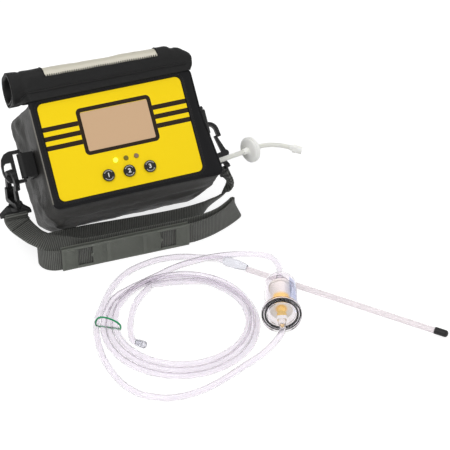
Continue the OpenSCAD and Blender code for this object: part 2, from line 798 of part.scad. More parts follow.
module filter_bowl() {
  color([0.9, 0.9, 0.9, 0.4]) filter_frame() rotate_extrude() polygon(concat(
    [[14.6, 0.8], [14.9, 0.8], [14.9, 1.6], [16.9, 1.6], [16.9, 0.8], [17.3, 0.8], [17.3, 1.5], [19.1, 1.5],
     [19.1, 0.8], [19.6, 0.8], [19.6, 3.6], [16.2, 5.6]],
    [for (a = [0:15:90]) [8.4 + 7.8 * cos(a), 48 + 8 * sin(a)]],
    [[4.2, 57], [3.6, 62], [0, 62], [0, 54]],
    [for (a = [90:-15:0]) [8.4 + 6.2 * cos(a), 47.6 + 6.4 * sin(a)]]));
}

module filter_cap() {
  color([0.88, 0.88, 0.88, 0.4]) filter_frame() rotate_extrude() polygon([
    [0, -18], [3.4, -18], [4.4, -9], [5, -1.5], [12.5, -1.5], [14, -3.6], [18.6, -3.6], [19.6, -2.6],
    [19.6, 0.6], [19.1, 0.6], [19.1, -0.1], [17.3, -0.1], [17.3, 0.6], [16.9, 0.6], [16.9, -0.2],
    [14.9, -0.2], [14.9, 0.6], [14.2, 0.6], [14.2, 5], [12.8, 5], [12.8, 2], [0, 2]]);
}

// Two seals between cap and bowl.
module filter_o_ring() {
  color([0.03, 0.03, 0.03]) filter_frame() {
    translate([0, 0, 0.7]) rotate_extrude() translate([15.9, 0]) circle(0.85, $fn = 24);
    translate([0, 0, 0.7]) rotate_extrude() translate([18.2, 0]) circle(0.72, $fn = 24);
  }
}

module filter_element() {
  color([0.95, 0.75, 0.35]) filter_frame() translate([0, 0, 9]) {
    cylinder(r = 10, h = 36);
    cylinder(r = 11.5, h = 3);
    translate([0, 0, 33]) cylinder(r = 11.5, h = 3);
    translate([0, 0, -6.9]) cylinder(r = 4, h = 7);
  }
}

// ---- Tubing ----
module filter_line() {
  color([0.9, 0.9, 0.9, 0.5]) placed() {
    swept_tube(smooth(lead_route, 1), tube_r, 8);
    swept_tube(smooth(tail_route, 1), tube_r, 8);
  }
}

module line_coil() {
  color([0.9, 0.9, 0.9, 0.4]) placed() linear_extrude(2 * tube_r + 5.4) difference() {
    translate(coil_c) circle(coil_r, $fn = 96);
    translate(coil_in_c) circle(coil_in_r, $fn = 96);
  }
}

module coil_tie() {
  color([0, 0.6, 0.35]) placed() translate([-67, -187.6, 0]) rotate([0, 0, -34]) rotate([90, 0, 0])
    linear_extrude(2.4, center = true) difference() {
      translate([0, 7]) round_rect(30, 14, 4);
      translate([0, 7]) round_rect(27.6, 11.6, 3);
    }
}

module line_end_fitting() {
  color([0.9, 0.9, 0.9, 0.6]) placed() translate([-48.5, -225.5, 6.2]) rotate([0, 0, -72])
  rotate([0, 68, 0]) difference() {
    union() {
      cylinder(r = 3.2, h = 3);
      translate([0, 0, 3]) cylinder(r = 3.7, h = 8);
    }
    translate([0, 0, 2]) cylinder(r = 2.1, h = 10);
  }
}

module probe_line() {
  color([0.9, 0.9, 0.9, 0.5]) placed() swept_tube(probe_route, tube_r, 8);
}

module probe_frame() {
  placed() translate(probe_at) rotate([0, 0, probe_turn]) rotate([0, 90, 0]) children();
}

module probe_connector() {
  color([0.88, 0.88, 0.9, 0.7]) probe_frame() rotate_extrude() polygon([
    [0, 0], [4.4, 0], [4.9, 2], [4.9, 14], [4.2, 19], [3, connector_l], [0, connector_l]]);
}

module probe_rod() {
  color([0.88, 0.84, 0.86, 0.6]) probe_frame() translate([2, 0, connector_l])
    cylinder(r = probe_d / 2, h = probe_l);
}

module probe_tip() {
  color([0.05, 0.05, 0.06]) probe_frame() translate([1.5, 0, connector_l + probe_l]) rotate_extrude() polygon([
    [0, 0], [3.5, 0], [3.5, 11], [3, 12.5], [1.4, 13.4], [0, 13.4]]);
}

case_body();
case_back_panel();
front_frame();
flap_hem();
left_side_tab();
right_side_tab();
flap();
flap_window();
front_housing();
rear_housing();
housing_gasket();
housing_screws();
face_overlay();
display_window();
lcd_module();
main_board();
status_leds();
key_switches();
left_key();
middle_key();
right_key();
battery_holder();
battery_cells();
sensor_block();
sensor_cell();
pump_head();
pump_motor();
pump_shaft();
internal_tube();
inlet_port();
inlet_tube();
disc_filter_inlet_half();
disc_filter_outlet_half();
tail_tube();
luer_fitting();
luer_collar();
left_ring();
right_ring();
left_hook();
right_hook();
left_gate();
right_gate();
left_eye();
right_eye();
strap_webbing();
shoulder_pad();
filter_bowl();
filter_cap();
filter_o_ring();
filter_element();
filter_line();
line_coil();
coil_tie();
line_end_fitting();
probe_line();
probe_connector();
probe_rod();
probe_tip();
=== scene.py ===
"""Looks of a portable gas detector: a pumped instrument in a padded carrying case.

It comes with its shoulder strap, its inlet filter and a coiled sampling line with a probe.
Sizes are in millimetres, and pieces are built in metres in the shared frame: X along the
case, Y away from the user, Z up, with the floor at zero.
"""

from __future__ import annotations

import json
import logging
import math
from dataclasses import dataclass, field
from enum import Enum
from typing import Any, Callable, Sequence

import bmesh
import bpy
from bpy.types import Material, Object
from mathutils import Matrix, Vector, noise

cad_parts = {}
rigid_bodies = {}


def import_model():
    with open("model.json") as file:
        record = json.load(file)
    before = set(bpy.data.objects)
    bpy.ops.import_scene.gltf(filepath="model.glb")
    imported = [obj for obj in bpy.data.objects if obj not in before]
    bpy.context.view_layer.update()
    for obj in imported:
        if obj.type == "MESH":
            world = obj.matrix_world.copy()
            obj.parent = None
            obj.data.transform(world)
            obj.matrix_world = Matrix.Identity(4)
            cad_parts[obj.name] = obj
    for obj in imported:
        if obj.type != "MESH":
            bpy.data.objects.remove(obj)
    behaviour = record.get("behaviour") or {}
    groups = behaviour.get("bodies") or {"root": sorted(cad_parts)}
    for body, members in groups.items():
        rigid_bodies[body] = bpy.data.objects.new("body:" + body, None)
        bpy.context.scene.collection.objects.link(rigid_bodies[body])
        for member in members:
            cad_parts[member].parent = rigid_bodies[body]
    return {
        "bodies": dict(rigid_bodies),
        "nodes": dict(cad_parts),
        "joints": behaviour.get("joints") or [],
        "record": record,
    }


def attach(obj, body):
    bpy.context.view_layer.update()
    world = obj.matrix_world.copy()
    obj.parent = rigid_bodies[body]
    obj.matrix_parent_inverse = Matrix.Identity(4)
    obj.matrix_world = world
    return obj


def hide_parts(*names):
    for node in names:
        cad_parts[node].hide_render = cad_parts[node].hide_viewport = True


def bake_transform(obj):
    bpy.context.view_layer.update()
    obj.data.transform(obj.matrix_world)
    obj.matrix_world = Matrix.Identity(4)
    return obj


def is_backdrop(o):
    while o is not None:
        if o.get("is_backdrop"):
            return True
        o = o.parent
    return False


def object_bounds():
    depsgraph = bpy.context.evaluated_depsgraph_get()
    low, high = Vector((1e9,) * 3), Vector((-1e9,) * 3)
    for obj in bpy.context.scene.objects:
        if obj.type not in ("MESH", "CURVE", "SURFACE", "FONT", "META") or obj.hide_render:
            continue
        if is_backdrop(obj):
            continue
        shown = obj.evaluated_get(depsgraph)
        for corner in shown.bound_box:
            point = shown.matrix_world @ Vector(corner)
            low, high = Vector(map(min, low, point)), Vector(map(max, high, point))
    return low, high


LOG = logging.getLogger("gas_detector")
MM = 0.001
LEAN = math.radians(42)
LAYOUT_SHIFT = Vector((-38.625, 7.105, 0.0))
CASE_SHIFT = Vector((1.5, 0.0, 0.0))
ROW = Matrix.Translation(LAYOUT_SHIFT * MM) @ Matrix.Scale(MM, 4)
CASE = ROW @ Matrix.Translation(CASE_SHIFT) @ Matrix.Rotation(-LEAN, 4, "X")
FILTER_START = Vector((89.5, -254.0, 19.95))
FILTER_WAY = (0.3746, 0.9272)
Colour = tuple[float, float, float, float]
Point = tuple[float, float, float]
Flat = tuple[float, float]
WHITE: Colour = (1.0, 1.0, 1.0, 1.0)
BLACK: Colour = (0.0, 0.0, 0.0, 1.0)


def tint(red: float, green: float, blue: float) -> Colour:
    """Turns a screen colour from 0 to 255 into a linear one.

    Args:
        red, green, blue: The three parts as a screen shows them.

    Returns:
        The colour that a shader socket takes.
    """
    parts = [value / 255 for value in (red, green, blue)]
    linear = [p / 12.92 if p <= 0.04045 else ((p + 0.055) / 1.055) ** 2.4 for p in parts]
    return (linear[0], linear[1], linear[2], 1.0)


def shade(colour: Colour, factor: float) -> Colour:
    """Returns the colour made darker or lighter by a factor."""
    return (min(1.0, colour[0] * factor), min(1.0, colour[1] * factor), min(1.0, colour[2] * factor), 1.0)


def ramp(value: float) -> float:
    """Keeps a value between 0 and 1."""
    return max(0.0, min(1.0, value))


def hump(value: float, middle: float, width: float) -> float:
    """A soft hump that is 1 at its middle and fades over a width."""
    return math.exp(-((value - middle) / width) ** 2)


# ------------ Node trees ------------


def math_method(operation: str, flipped: bool = False) -> Callable[[Sock, Sock | float], Sock]:
    """Makes a method of Sock out of a Math node.

    Args:
        operation: The Math node's operation.
        flipped: Whether the other value comes first.

    Returns:
        The method.
    """
    def method(first: Sock, second: Sock | float) -> Sock:
        """Joins two values."""
        return first.math(operation, *((second, first) if flipped else (first, second)))
    return method


class Sock:
    """An output socket of a shader tree that takes part in Python arithmetic."""

    def __init__(self, graph: ShaderGraph, socket: bpy.types.NodeSocket) -> None:
        """Keeps the tree and the socket."""
        self.graph = graph
        self.socket = socket

    def math(self, operation: str, *values: Sock | float) -> Sock:
        """Adds one Math node.

        Args:
            operation: The Math node's operation.
            values: Its inputs in their order.

        Returns:
            The node's value.
        """
        node = self.graph.node("ShaderNodeMath", dict(enumerate(values)), operation=operation)
        return Sock(self.graph, node.outputs[0])

    __add__ = math_method("ADD")
    __sub__ = math_method("SUBTRACT")
    __rsub__ = math_method("SUBTRACT", flipped=True)
    __mul__ = math_method("MULTIPLY")
    max = math_method("MAXIMUM")
    min = math_method("MINIMUM")

    def __abs__(self) -> Sock:
        """Size without the sign."""
        return self.math("ABSOLUTE", self)

    def root(self) -> Sock:
        """Square root."""
        return self.math("SQRT", self)

    def wave(self, length: float) -> Sock:
        """A wave from 0 to 1 with the given length in metres."""
        return self.math("SINE", self * (2 * math.pi / length)) * 0.5 + 0.5

    def below(self, edge: float, soft: float) -> Sock:
        """A mask that is 1 where the value is under an edge.

        Args:
            edge: The value at which the mask is a half.
            soft: The width over which it fades.

        Returns:
            The mask.
        """
        node = self.graph.node("ShaderNodeMapRange", {
            "Value": self, "From Min": edge - soft / 2, "From Max": edge + soft / 2, "To Min": 1.0, "To Max": 0.0},
            interpolation_type="SMOOTHSTEP")
        return Sock(self.graph, node.outputs[0])


class NodeTree:
    """A tree of nodes, each made by one method."""

    def __init__(self, tree: bpy.types.NodeTree) -> None:
        """Keeps the tree."""
        self.tree = tree

    def node(self, kind: str, values: dict[Any, Any] | None = None, **settings: Any) -> bpy.types.Node:
        """Adds a node.

        Args:
            kind: The node's type.
            values: What goes into its sockets, by name or number: a value or a link.
            settings: Its properties, set first.

        Returns:
            The node.
        """
        made = self.tree.nodes.new(kind)
        for name, setting in settings.items():
            setattr(made, name, setting)
        for name, value in (values or {}).items():
            if isinstance(value, Sock):
                value = value.socket
            if isinstance(value, bpy.types.NodeSocket):
                self.tree.links.new(value, made.inputs[name])
            else:
                made.inputs[name].default_value = value
        return made


class ShaderGraph(NodeTree):
    """The shader tree of one material."""

    def __init__(self, name: str) -> None:
        """Makes an empty material.

        Args:
            name: Its name.
        """
        self.material = bpy.data.materials.new(name)
        self.material.use_nodes = True
        self.material.node_tree.nodes.clear()
        super().__init__(self.material.node_tree)

    def sock(self, node: bpy.types.Node, output: int | str = 0) -> Sock:
        """Returns one output of a node."""
        return Sock(self, node.outputs[output])

    def place(self) -> Sock:
        """Object coordinates, in metres in the shared frame."""
        return self.sock(self.node("ShaderNodeTexCoord"), "Object")

    def case_place(self) -> tuple[Sock, Sock, Sock]:
        """Object coordinates turned upright with the case, in metres.

        Returns:
            The three parts: along the case, depth, and height up its face.
        """
        turned = self.node("ShaderNodeMapping", {"Vector": self.place(), "Rotation": (LEAN, 0.0, 0.0)},
                           vector_type="POINT")
        shift = Matrix.Rotation(LEAN, 3, "X") @ CASE.translation
        turned.inputs["Location"].default_value = -shift
        return self.split(self.sock(turned))

    def filter_place(self) -> tuple[Sock, Sock, Sock]:
        """Object coordinates turned with the moisture filter, in metres.

        Returns:
            The three parts: along the filter from its start, to its right, and height over the floor.
        """
        x, y, z = self.split(self.place())
        start = ROW @ FILTER_START
        across, ahead = FILTER_WAY
        return ((x - start.x) * across + (y - start.y) * ahead, (x - start.x) * ahead - (y - start.y) * across, z)

    def split(self, vector: Sock) -> tuple[Sock, Sock, Sock]:
        """Returns the three parts of a vector."""
        node = self.node("ShaderNodeSeparateXYZ", {0: vector})
        return self.sock(node, 0), self.sock(node, 1), self.sock(node, 2)

    def cloth_place(self) -> tuple[Sock, Sock, Sock]:
        """The piece's own map: metres along it and metres across it."""
        return self.split(self.sock(self.node("ShaderNodeUVMap", uv_map="cut")))

    def mottle(self, size: float, detail: float = 3.0) -> Sock:
        """Noise from 0 to 1.

        Args:
            size: The size of its blots in mm.
            detail: Its layers.

        Returns:
            The noise.
        """
        noisy = {"Vector": self.place(), "Scale": 1 / (size * MM), "Detail": detail}
        return self.sock(self.node("ShaderNodeTexNoise", noisy))

    def mix(self, factor: Sock | float, first: Sock | Colour, second: Sock | Colour) -> Sock:
        """Blends two colours."""
        node = self.node("ShaderNodeMix", {0: factor, 6: first, 7: second}, data_type="RGBA")
        return self.sock(node, 2)

    def relief(self, height: Sock, depth: float, strength: float = 1.0) -> Sock:
        """Turns a height from 0 to 1 into a normal.

        Args:
            height: The height.
            depth: How deep a height of 1 is, in mm.
            strength: How much of it shows.

        Returns:
            The normal.
        """
        node = self.node("ShaderNodeBump", {"Height": height, "Distance": depth * MM, "Strength": strength})
        return self.sock(node)

    def surface(self, values: dict[str, Any]) -> Material:
        """Ends the tree in a Principled surface.

        Args:
            values: What goes into its sockets.

        Returns:
            The material.
        """
        shader = self.node("ShaderNodeBsdfPrincipled", values)
        self.node("ShaderNodeOutputMaterial", {"Surface": shader.outputs[0]})
        return self.material


class GrowthTree(NodeTree):
    """A Geometry Nodes tree with named sizes that is turned into a plain mesh."""

    def __init__(self, name: str, sizes: dict[str, str]) -> None:
        """Makes the tree.

        Args:
            name: Its name.
            sizes: Its inputs by name, each with the type of its socket.
        """
        super().__init__(bpy.data.node_groups.new(name, "GeometryNodeTree"))
        face = self.tree.interface
        face.new_socket("Geometry", in_out="INPUT", socket_type="NodeSocketGeometry")
        for label, kind in sizes.items():
            face.new_socket(label, in_out="INPUT", socket_type=kind)
        face.new_socket("Geometry", in_out="OUTPUT", socket_type="NodeSocketGeometry")
        self.given = self.node("NodeGroupInput").outputs

    def end(self, geometry: bpy.types.NodeSocket, material: Material) -> None:
        """Closes the tree with real geometry in one material.

        Args:
            geometry: The instances.
            material: Their finish.
        """
        real = self.node("GeometryNodeRealizeInstances", {0: geometry})
        smooth = self.node("GeometryNodeSetShadeSmooth", {0: real.outputs[0]})
        dressed = self.node("GeometryNodeSetMaterial", {"Geometry": smooth.outputs[0], "Material": material})
        self.node("NodeGroupOutput", {0: dressed.outputs[0]})

    def grow(self, obj: Object, sizes: dict[str, Any]) -> Object:
        """Runs the tree on an object and keeps the result as its mesh.

        Args:
            obj: The object that the tree starts from.
            sizes: The inputs by name.

        Returns:
            The same object, with a plain mesh and no modifier.
        """
        modifier = obj.modifiers.new("growth", "NODES")
        modifier.node_group = self.tree
        for item in self.tree.interface.items_tree:
            if item.in_out == "INPUT" and item.name in sizes:
                modifier[item.identifier] = sizes[item.name]
        apply_modifiers(obj)
        obj.data.name = obj.name
        return obj


# ------------ Finishes ------------


@dataclass(frozen=True)
class Finish:
    """A finish that turns into a material of its name."""

    name: str

    def make(self) -> Material:
        """Builds the material."""
        graph = ShaderGraph(self.name)
        return graph.surface(self.values(graph))

    def values(self, graph: ShaderGraph) -> dict[str, Any]:
        """Builds the finish's nodes.

        Args:
            graph: The tree they go into.

        Returns:
            What goes into the surface's sockets.
        """
        raise NotImplementedError


@dataclass(frozen=True)
class Moulded(Finish):
    """Plastic, rubber or painted metal with a fine grain.

    Attributes:
        colour: Its colour.
        roughness: Its roughness.
        blot: The size of its uneven spots, in mm.
        uneven: How much lighter and darker those spots are.
        grain: The size of its grain, in mm.
        depth: The depth of its grain, in mm.
        metallic, coat: The shader's constants of those names.
        through: How much light goes through it.
        bend: Its index of refraction.
        skin: How much light spreads under its surface.
        sheen: How much it mirrors.
    """

    colour: Colour
    roughness: float = 0.45
    blot: float = 18.0
    uneven: float = 0.08
    grain: float = 0.6
    depth: float = 0.02
    metallic: float = 0.0
    coat: float = 0.0
    through: float = 0.0
    bend: float = 1.45
    skin: float = 0.0
    sheen: float = 0.5

    def values(self, graph: ShaderGraph) -> dict[str, Any]:
        """Builds the finish's nodes.

        Args:
            graph: The tree to build in.

        Returns:
            The surface's values.
        """
        spots = graph.mottle(self.blot)
        grain = graph.mottle(self.grain, 2.0)
        return {
            "Base Color": graph.mix(spots, shade(self.colour, 1 - self.uneven), shade(self.colour, 1 + self.uneven)),
            "Roughness": spots * 0.08 + (self.roughness - 0.04),
            "Normal": graph.relief(grain, self.depth),
            "Metallic": self.metallic, "Coat Weight": self.coat, "IOR": self.bend, "Specular IOR Level": self.sheen,
            "Transmission Weight": self.through, "Subsurface Weight": self.skin,
            "Subsurface Radius": (0.004, 0.004, 0.0035)}


@dataclass(frozen=True)
class CaseCloth(Finish):
    """Coated nylon of the carrying case, with a fine weave and soft creases.

    Attributes:
        colour: Its colour.
        pitch: From one thread to the next, in mm.
        sheen: How much it mirrors.
        blot, crumple: The size of its blotches and of its fine creases, in mm.
        dark, light: How much darker and lighter it is where the noises that also shape its relief are low and high.
        depth: The depth of its relief, in mm.
    """

    name: str = "case_cloth"
    colour: Colour = field(default_factory=lambda: tint(40, 39, 37))
    pitch: float = 1.1
    sheen: float = 0.3
    blot: float = 22.0
    crumple: float = 3.5
    dark: float = 0.55
    light: float = 1.5
    depth: float = 0.5

    def values(self, graph: ShaderGraph) -> dict[str, Any]:
        """Builds the finish's nodes.

        Args:
            graph: The tree to build in.

        Returns:
            The surface's values.
        """
        along, depth, up = graph.case_place()
        weave = along.wave(self.pitch * MM) * (up + depth).wave(self.pitch * MM)
        spots = graph.mottle(self.blot)
        fine = graph.mottle(self.crumple, 4.0)
        colour = graph.mix(spots * 0.55 + fine * 0.45, shade(self.colour, self.dark), shade(self.colour, self.light))
        height = weave * 0.35 + fine * 0.5 + spots * 0.3
        return {"Base Color": colour, "Roughness": spots * 0.2 + 0.42, "Specular IOR Level": self.sheen,
                "Normal": graph.relief(height, self.depth, 0.7)}


@dataclass(frozen=True)
class Webbing(Finish):
    """Woven strap with ribs across its width; its map holds metres along and across it.

    Attributes:
        colour: Its colour.
        rib, yarn: From one rib and one yarn to the next, in mm.
        blot: The size of its uneven spots, in mm.
        dark, light: How much darker the painted shade in its grooves is and how much lighter the painted highlight on
            its ribs is.
        depth: How deep its grooves are, in mm.
    """

    colour: Colour
    rib: float = 1.9
    yarn: float = 1.3
    blot: float = 12.0
    dark: float = 0.28
    light: float = 1.7
    depth: float = 0.7

    def values(self, graph: ShaderGraph) -> dict[str, Any]:
        """Builds the finish's nodes.

        Args:
            graph: The tree to build in.

        Returns:
            The surface's values.
        """
        along, across, _ = graph.cloth_place()
        rib = along.wave(self.rib * MM)
        cord = rib * 0.75 + across.wave(self.yarn * MM) * rib * 0.25
        spots = graph.mottle(self.blot)
        # The colour paints shade into the grooves and a highlight onto the ribs, following the same rib wave as the
        # relief.
        colour = graph.mix(cord * 0.8 + spots * 0.2, shade(self.colour, self.dark), shade(self.colour, self.light))
        return {"Base Color": colour, "Roughness": 0.62, "Specular IOR Level": 0.35,
                "Normal": graph.relief(cord, self.depth, 0.9)}


@dataclass(frozen=True)
class FacePrint(Finish):
    """The yellow face plate with its black display outline and side stripes.

    Attributes:
        yellow, black: Its two inks.
        centre_x, centre_z: The middle of the outline on the face, in mm.
        outline: The outline's width, height and line, in mm.
        corner: The radius of the outline's corners, in mm.
        stripes: How high up the face the stripes are, in mm.
        stripe: How wide a stripe is, in mm.
        soft: How wide the edges of the print fade, in mm.
    """

    name: str = "face_print"
    yellow: Colour = field(default_factory=lambda: tint(255, 219, 0))
    black: Colour = field(default_factory=lambda: tint(40, 28, 14))
    centre_x: float = -2.0
    centre_z: float = 71.2
    outline: Point = (79.0, 48.6, 4.3)
    corner: float = 5.0
    stripes: Point = (81.0, 71.3, 61.7)
    stripe: float = 4.9
    soft: float = 0.12

    def values(self, graph: ShaderGraph) -> dict[str, Any]:
        """Builds the finish's nodes.

        Args:
            graph: The tree to build in.

        Returns:
            The surface's values.
        """
        x, _, z = graph.case_place()
        width, height, line = self.outline
        x = abs(x * (1 / MM) - self.centre_x)
        z = z * (1 / MM)
        dx = (x - (width / 2 - self.corner)).max(0.0)
        dz = (abs(z - self.centre_z) - (height / 2 - self.corner)).max(0.0)
        reach = (dx * dx + dz * dz).root()
        outer = reach.below(self.corner, self.soft)
        ring = outer * (1 - reach.below(self.corner - line, self.soft))
        first, second, third = (abs(z - up).below(self.stripe / 2, self.soft) for up in self.stripes)
        mask = ring.max(first.max(second).max(third) * (1 - outer)).min(1.0)
        spots = graph.mottle(50)
        plate = graph.mix(spots, shade(self.yellow, 0.97), shade(self.yellow, 1.02))
        return {"Base Color": graph.mix(mask, plate, self.black), "Roughness": mask * 0.05 + 0.36,
                "Specular IOR Level": 0.25, "Normal": graph.relief(graph.mottle(1.2), 0.03)}


@dataclass(frozen=True)
class LampLenses(Finish):
    """Three lamp lenses in a row: the left one lit green, then olive and mauve.

    Attributes:
        lit, olive, mauve: Their colours.
        gaps: Where one lens ends and the next starts along the case, in mm.
        glow: How strongly the lit one shines.
    """

    name: str = "lamp_lenses"
    lit: Colour = field(default_factory=lambda: tint(215, 255, 90))
    olive: Colour = field(default_factory=lambda: tint(120, 110, 30))
    mauve: Colour = field(default_factory=lambda: tint(140, 115, 95))
    gaps: Flat = (-8.0, 3.0)
    glow: float = 0.8

    def values(self, graph: ShaderGraph) -> dict[str, Any]:
        """Builds the finish's nodes.

        Args:
            graph: The tree to build in.

        Returns:
            The surface's values.
        """
        x, _, _ = graph.case_place()
        first, second = (x.below(gap * MM, MM) for gap in self.gaps)
        colour = graph.mix(first, graph.mix(second, self.mauve, self.olive), self.lit)
        return {"Base Color": colour, "Roughness": graph.mottle(4) * 0.1 + 0.2,
                "Emission Color": graph.mix(first, BLACK, self.lit), "Emission Strength": self.glow,
                "Coat Weight": 0.5}


@dataclass(frozen=True)
class FilterMedia(Finish):
    """The filter's element: white, with an amber middle and an amber band at the cap's end.

    Attributes:
        white, amber: Its colours.
        face: How far from the filter's start its end face ends, in mm.
        middle: The radius of the amber spot on that face, in mm.
        band: How far from the filter's start the band ends, in mm.
        half: Half the band's width, in mm.
        soft: How wide the edges of the spot and the band fade, in mm.
    """

    name: str = "filter_media"
    white: Colour = field(default_factory=lambda: tint(244, 238, 232))
    amber: Colour = field(default_factory=lambda: tint(255, 212, 122))
    face: float = 12.5
    middle: float = 5.5
    band: float = 24.0
    half: float = 7.5
    soft: float = 3.0

    def values(self, graph: ShaderGraph) -> dict[str, Any]:
        """Builds the finish's nodes.

        Args:
            graph: The tree to build in.

        Returns:
            The surface's values.
        """
        along, side, z = graph.filter_place()
        side = abs(side)
        rise = z - (ROW @ FILTER_START).z
        out = (side * side + rise * rise).root()
        face = along.below(self.face * MM, MM)
        band = along.below(self.band * MM, 2 * self.soft * MM) * side.below(self.half * MM, self.soft * MM)
        amber = face * out.below(self.middle * MM, self.soft * MM) + (1 - face) * band
        pores = graph.mottle(1.4)
        colour = graph.mix(amber, graph.mix(pores, shade(self.white, 0.9), self.white), self.amber)
        return {"Base Color": colour, "Roughness": 0.8, "Normal": graph.relief(pores, 0.3)}


@dataclass(frozen=True)
class ClearBowl(Finish):
    """Clear moulded bowl with a painted bluish reflection on one side.

    Attributes:
        clear, patch: Its colour and the colour of the painted reflection.
        reach: Where the painted reflection starts and ends along the filter, in mm.
        side: How far from the filter's middle the painted reflection starts, in mm.
        low: How high over the floor the painted reflection starts, in mm.
    """

    name: str = "clear_bowl"
    clear: Colour = field(default_factory=lambda: tint(250, 247, 250))
    patch: Colour = field(default_factory=lambda: tint(203, 209, 230))
    reach: Flat = (12.0, 46.0)
    side: float = 8.5
    low: float = 12.0

    def values(self, graph: ShaderGraph) -> dict[str, Any]:
        """Builds the finish's nodes.

        Args:
            graph: The tree to build in.

        Returns:
            The surface's values.
        """
        along, side, z = graph.filter_place()
        start, end = self.reach
        band = along.below(end * MM, MM) * (1 - along.below(start * MM, MM))
        # A darker bluish reflection is painted on the bowl's upper part, to one side of its middle.
        patch = band * (1 - side.below(self.side * MM, MM)) * (1 - z.below(self.low * MM, MM))
        cloud = graph.mottle(20)
        colour = graph.mix(patch, graph.mix(cloud, shade(self.clear, 0.97), self.clear), self.patch)
        return {"Base Color": colour, "Roughness": cloud * 0.03 + 0.02, "IOR": 1.15, "Transmission Weight": 0.97,
                "Normal": graph.relief(graph.mottle(6), 0.1, 0.4)}


# ------------ Meshes ------------


def piece(name: str, points: Sequence[Vector], faces: Sequence[Sequence[int]], material: Material,
          cut: Sequence[Flat] | None = None) -> Object:
    """Makes a smooth mesh object at the origin.

    Args:
        name: The piece's name.
        points: Its points in the shared frame, in metres.
        faces: Its faces as point numbers.
        material: Its finish.
        cut: For each point, where it lies on the flat cut piece, in metres.

    Returns:
        The object.
    """
    mesh = bpy.data.meshes.new(name)
    mesh.from_pydata([tuple(point) for point in points], [], [tuple(face) for face in faces])
    mesh.materials.append(material)
    if cut is not None:
        layer = mesh.uv_layers.new(name="cut")
        for loop in mesh.loops:
            layer.data[loop.index].uv = cut[loop.vertex_index]
    mesh.polygons.foreach_set("use_smooth", [True] * len(mesh.polygons))
    mesh.update()
    return linked(name, mesh)


def linked(name: str, data: bpy.types.ID) -> Object:
    """Puts an object with that name and data into the scene.

    Args:
        name: The object's name.
        data: Its data.

    Returns:
        The object.
    """
    made = bpy.data.objects.new(name, data)
    bpy.context.scene.collection.objects.link(made)
    return made


def grid_faces(columns: int, rows: int, hole: Callable[[int, int], bool] | None = None) -> list[list[int]]:
    """Returns the faces between a grid's points, which are numbered row by row.

    Args:
        columns, rows: The number of points each way.
        hole: Whether a cell is left out, by its column and row.

    Returns:
        The faces.
    """
    return [[j * columns + i, j * columns + i + 1, (j + 1) * columns + i + 1, (j + 1) * columns + i]
            for j in range(rows - 1) for i in range(columns - 1) if not (hole and hole(i, j))]


def ring_faces(rows: int, count: int, first: int = 0) -> list[list[int]]:
    """Returns the faces between closed rings of points.

    Args:
        rows: The number of rings.
        count: The points of each ring.
        first: The number of the first point.

    Returns:
        The faces.
    """
    return [[first + i * count + k, first + i * count + (k + 1) % count,
             first + (i + 1) * count + (k + 1) % count, first + (i + 1) * count + k]
            for i in range(rows - 1) for k in range(count)]


def end_faces(rows: int, count: int) -> list[list[int]]:
    """Returns the two faces that close the first and the last ring."""
    return [list(range(count))[::-1], [(rows - 1) * count + k for k in range(count)]]


def drop_loose(obj: Object) -> Object:
    """Removes the points that no face uses.

    Args:
        obj: A mesh.

    Returns:
        The same object.
    """
    shell = bmesh.new()
    shell.from_mesh(obj.data)
    bmesh.ops.delete(shell, geom=[v for v in shell.verts if not v.link_faces], context="VERTS")
    shell.to_mesh(obj.data)
    shell.free()
    return obj


def close_up(obj: Object) -> Object:
    """Merges doubled points and turns all faces outwards.

    Args:
        obj: A mesh.

    Returns:
        The same object.
    """
    shell = bmesh.new()
    shell.from_mesh(obj.data)
    bmesh.ops.remove_doubles(shell, verts=shell.verts, dist=1e-6)
    bmesh.ops.recalc_face_normals(shell, faces=shell.faces)
    shell.to_mesh(obj.data)
    shell.free()
    return obj


def apply_modifiers(obj: Object) -> Object:
    """Turns the object's modifiers into plain mesh.

    Args:
        obj: A mesh.

    Returns:
        The same object.
    """
    ready = obj.evaluated_get(bpy.context.evaluated_depsgraph_get())
    mesh = bpy.data.meshes.new_from_object(ready)
    obj.modifiers.clear()
    obj.data = mesh
    return obj


def thicken(obj: Object, thickness: float, offset: float = 0.0, levels: int = 0,
            bevel: float = 0.0) -> Object:
    """Gives a sheet its wall and optional subdivision or bevelled edges.

    Args:
        obj: The sheet.
        thickness: The wall in mm.
        offset: From -1, inwards, to 1, outwards.
        levels: How often the result is subdivided.
        bevel: The width of the bevel in mm.

    Returns:
        The object with a plain mesh.
    """
    wall = obj.modifiers.new("wall", "SOLIDIFY")
    wall.thickness, wall.offset, wall.use_even_offset = thickness * MM, offset, False
    if levels:
        finer = obj.modifiers.new("finer", "SUBSURF")
        finer.levels = finer.render_levels = levels
    if bevel:
        soft = obj.modifiers.new("edge", "BEVEL")
        soft.width, soft.segments, soft.limit_method = bevel * MM, 1, "ANGLE"
    return apply_modifiers(obj)


def smooth_path(points: Sequence[Vector], steps: int) -> list[Vector]:
    """Puts a smooth curve through points.

    Args:
        points: The points.
        steps: How many pieces each stretch between two points gets.

    Returns:
        The points of the curve.
    """
    last = len(points) - 1
    curve: list[Vector] = []
    for i in range(last):
        a, b, c, d = points[max(i - 1, 0)], points[i], points[i + 1], points[min(i + 2, last)]
        for s in range(steps):
            u = s / steps
            curve.append(0.5 * ((2 * b) + (c - a) * u + (2 * a - 5 * b + 4 * c - d) * u * u
                                + (3 * b - a - 3 * c + d) * u ** 3))
    curve.append(points[last].copy())
    return curve


def length_of(path: Sequence[Vector]) -> float:
    """Returns the length of a path."""
    return sum((path[i + 1] - path[i]).length for i in range(len(path) - 1))


def heading(path: Sequence[Vector], i: int) -> Vector:
    """Returns the direction of a path at one of its points."""
    return (path[min(i + 1, len(path) - 1)] - path[max(i - 1, 0)]).normalized()


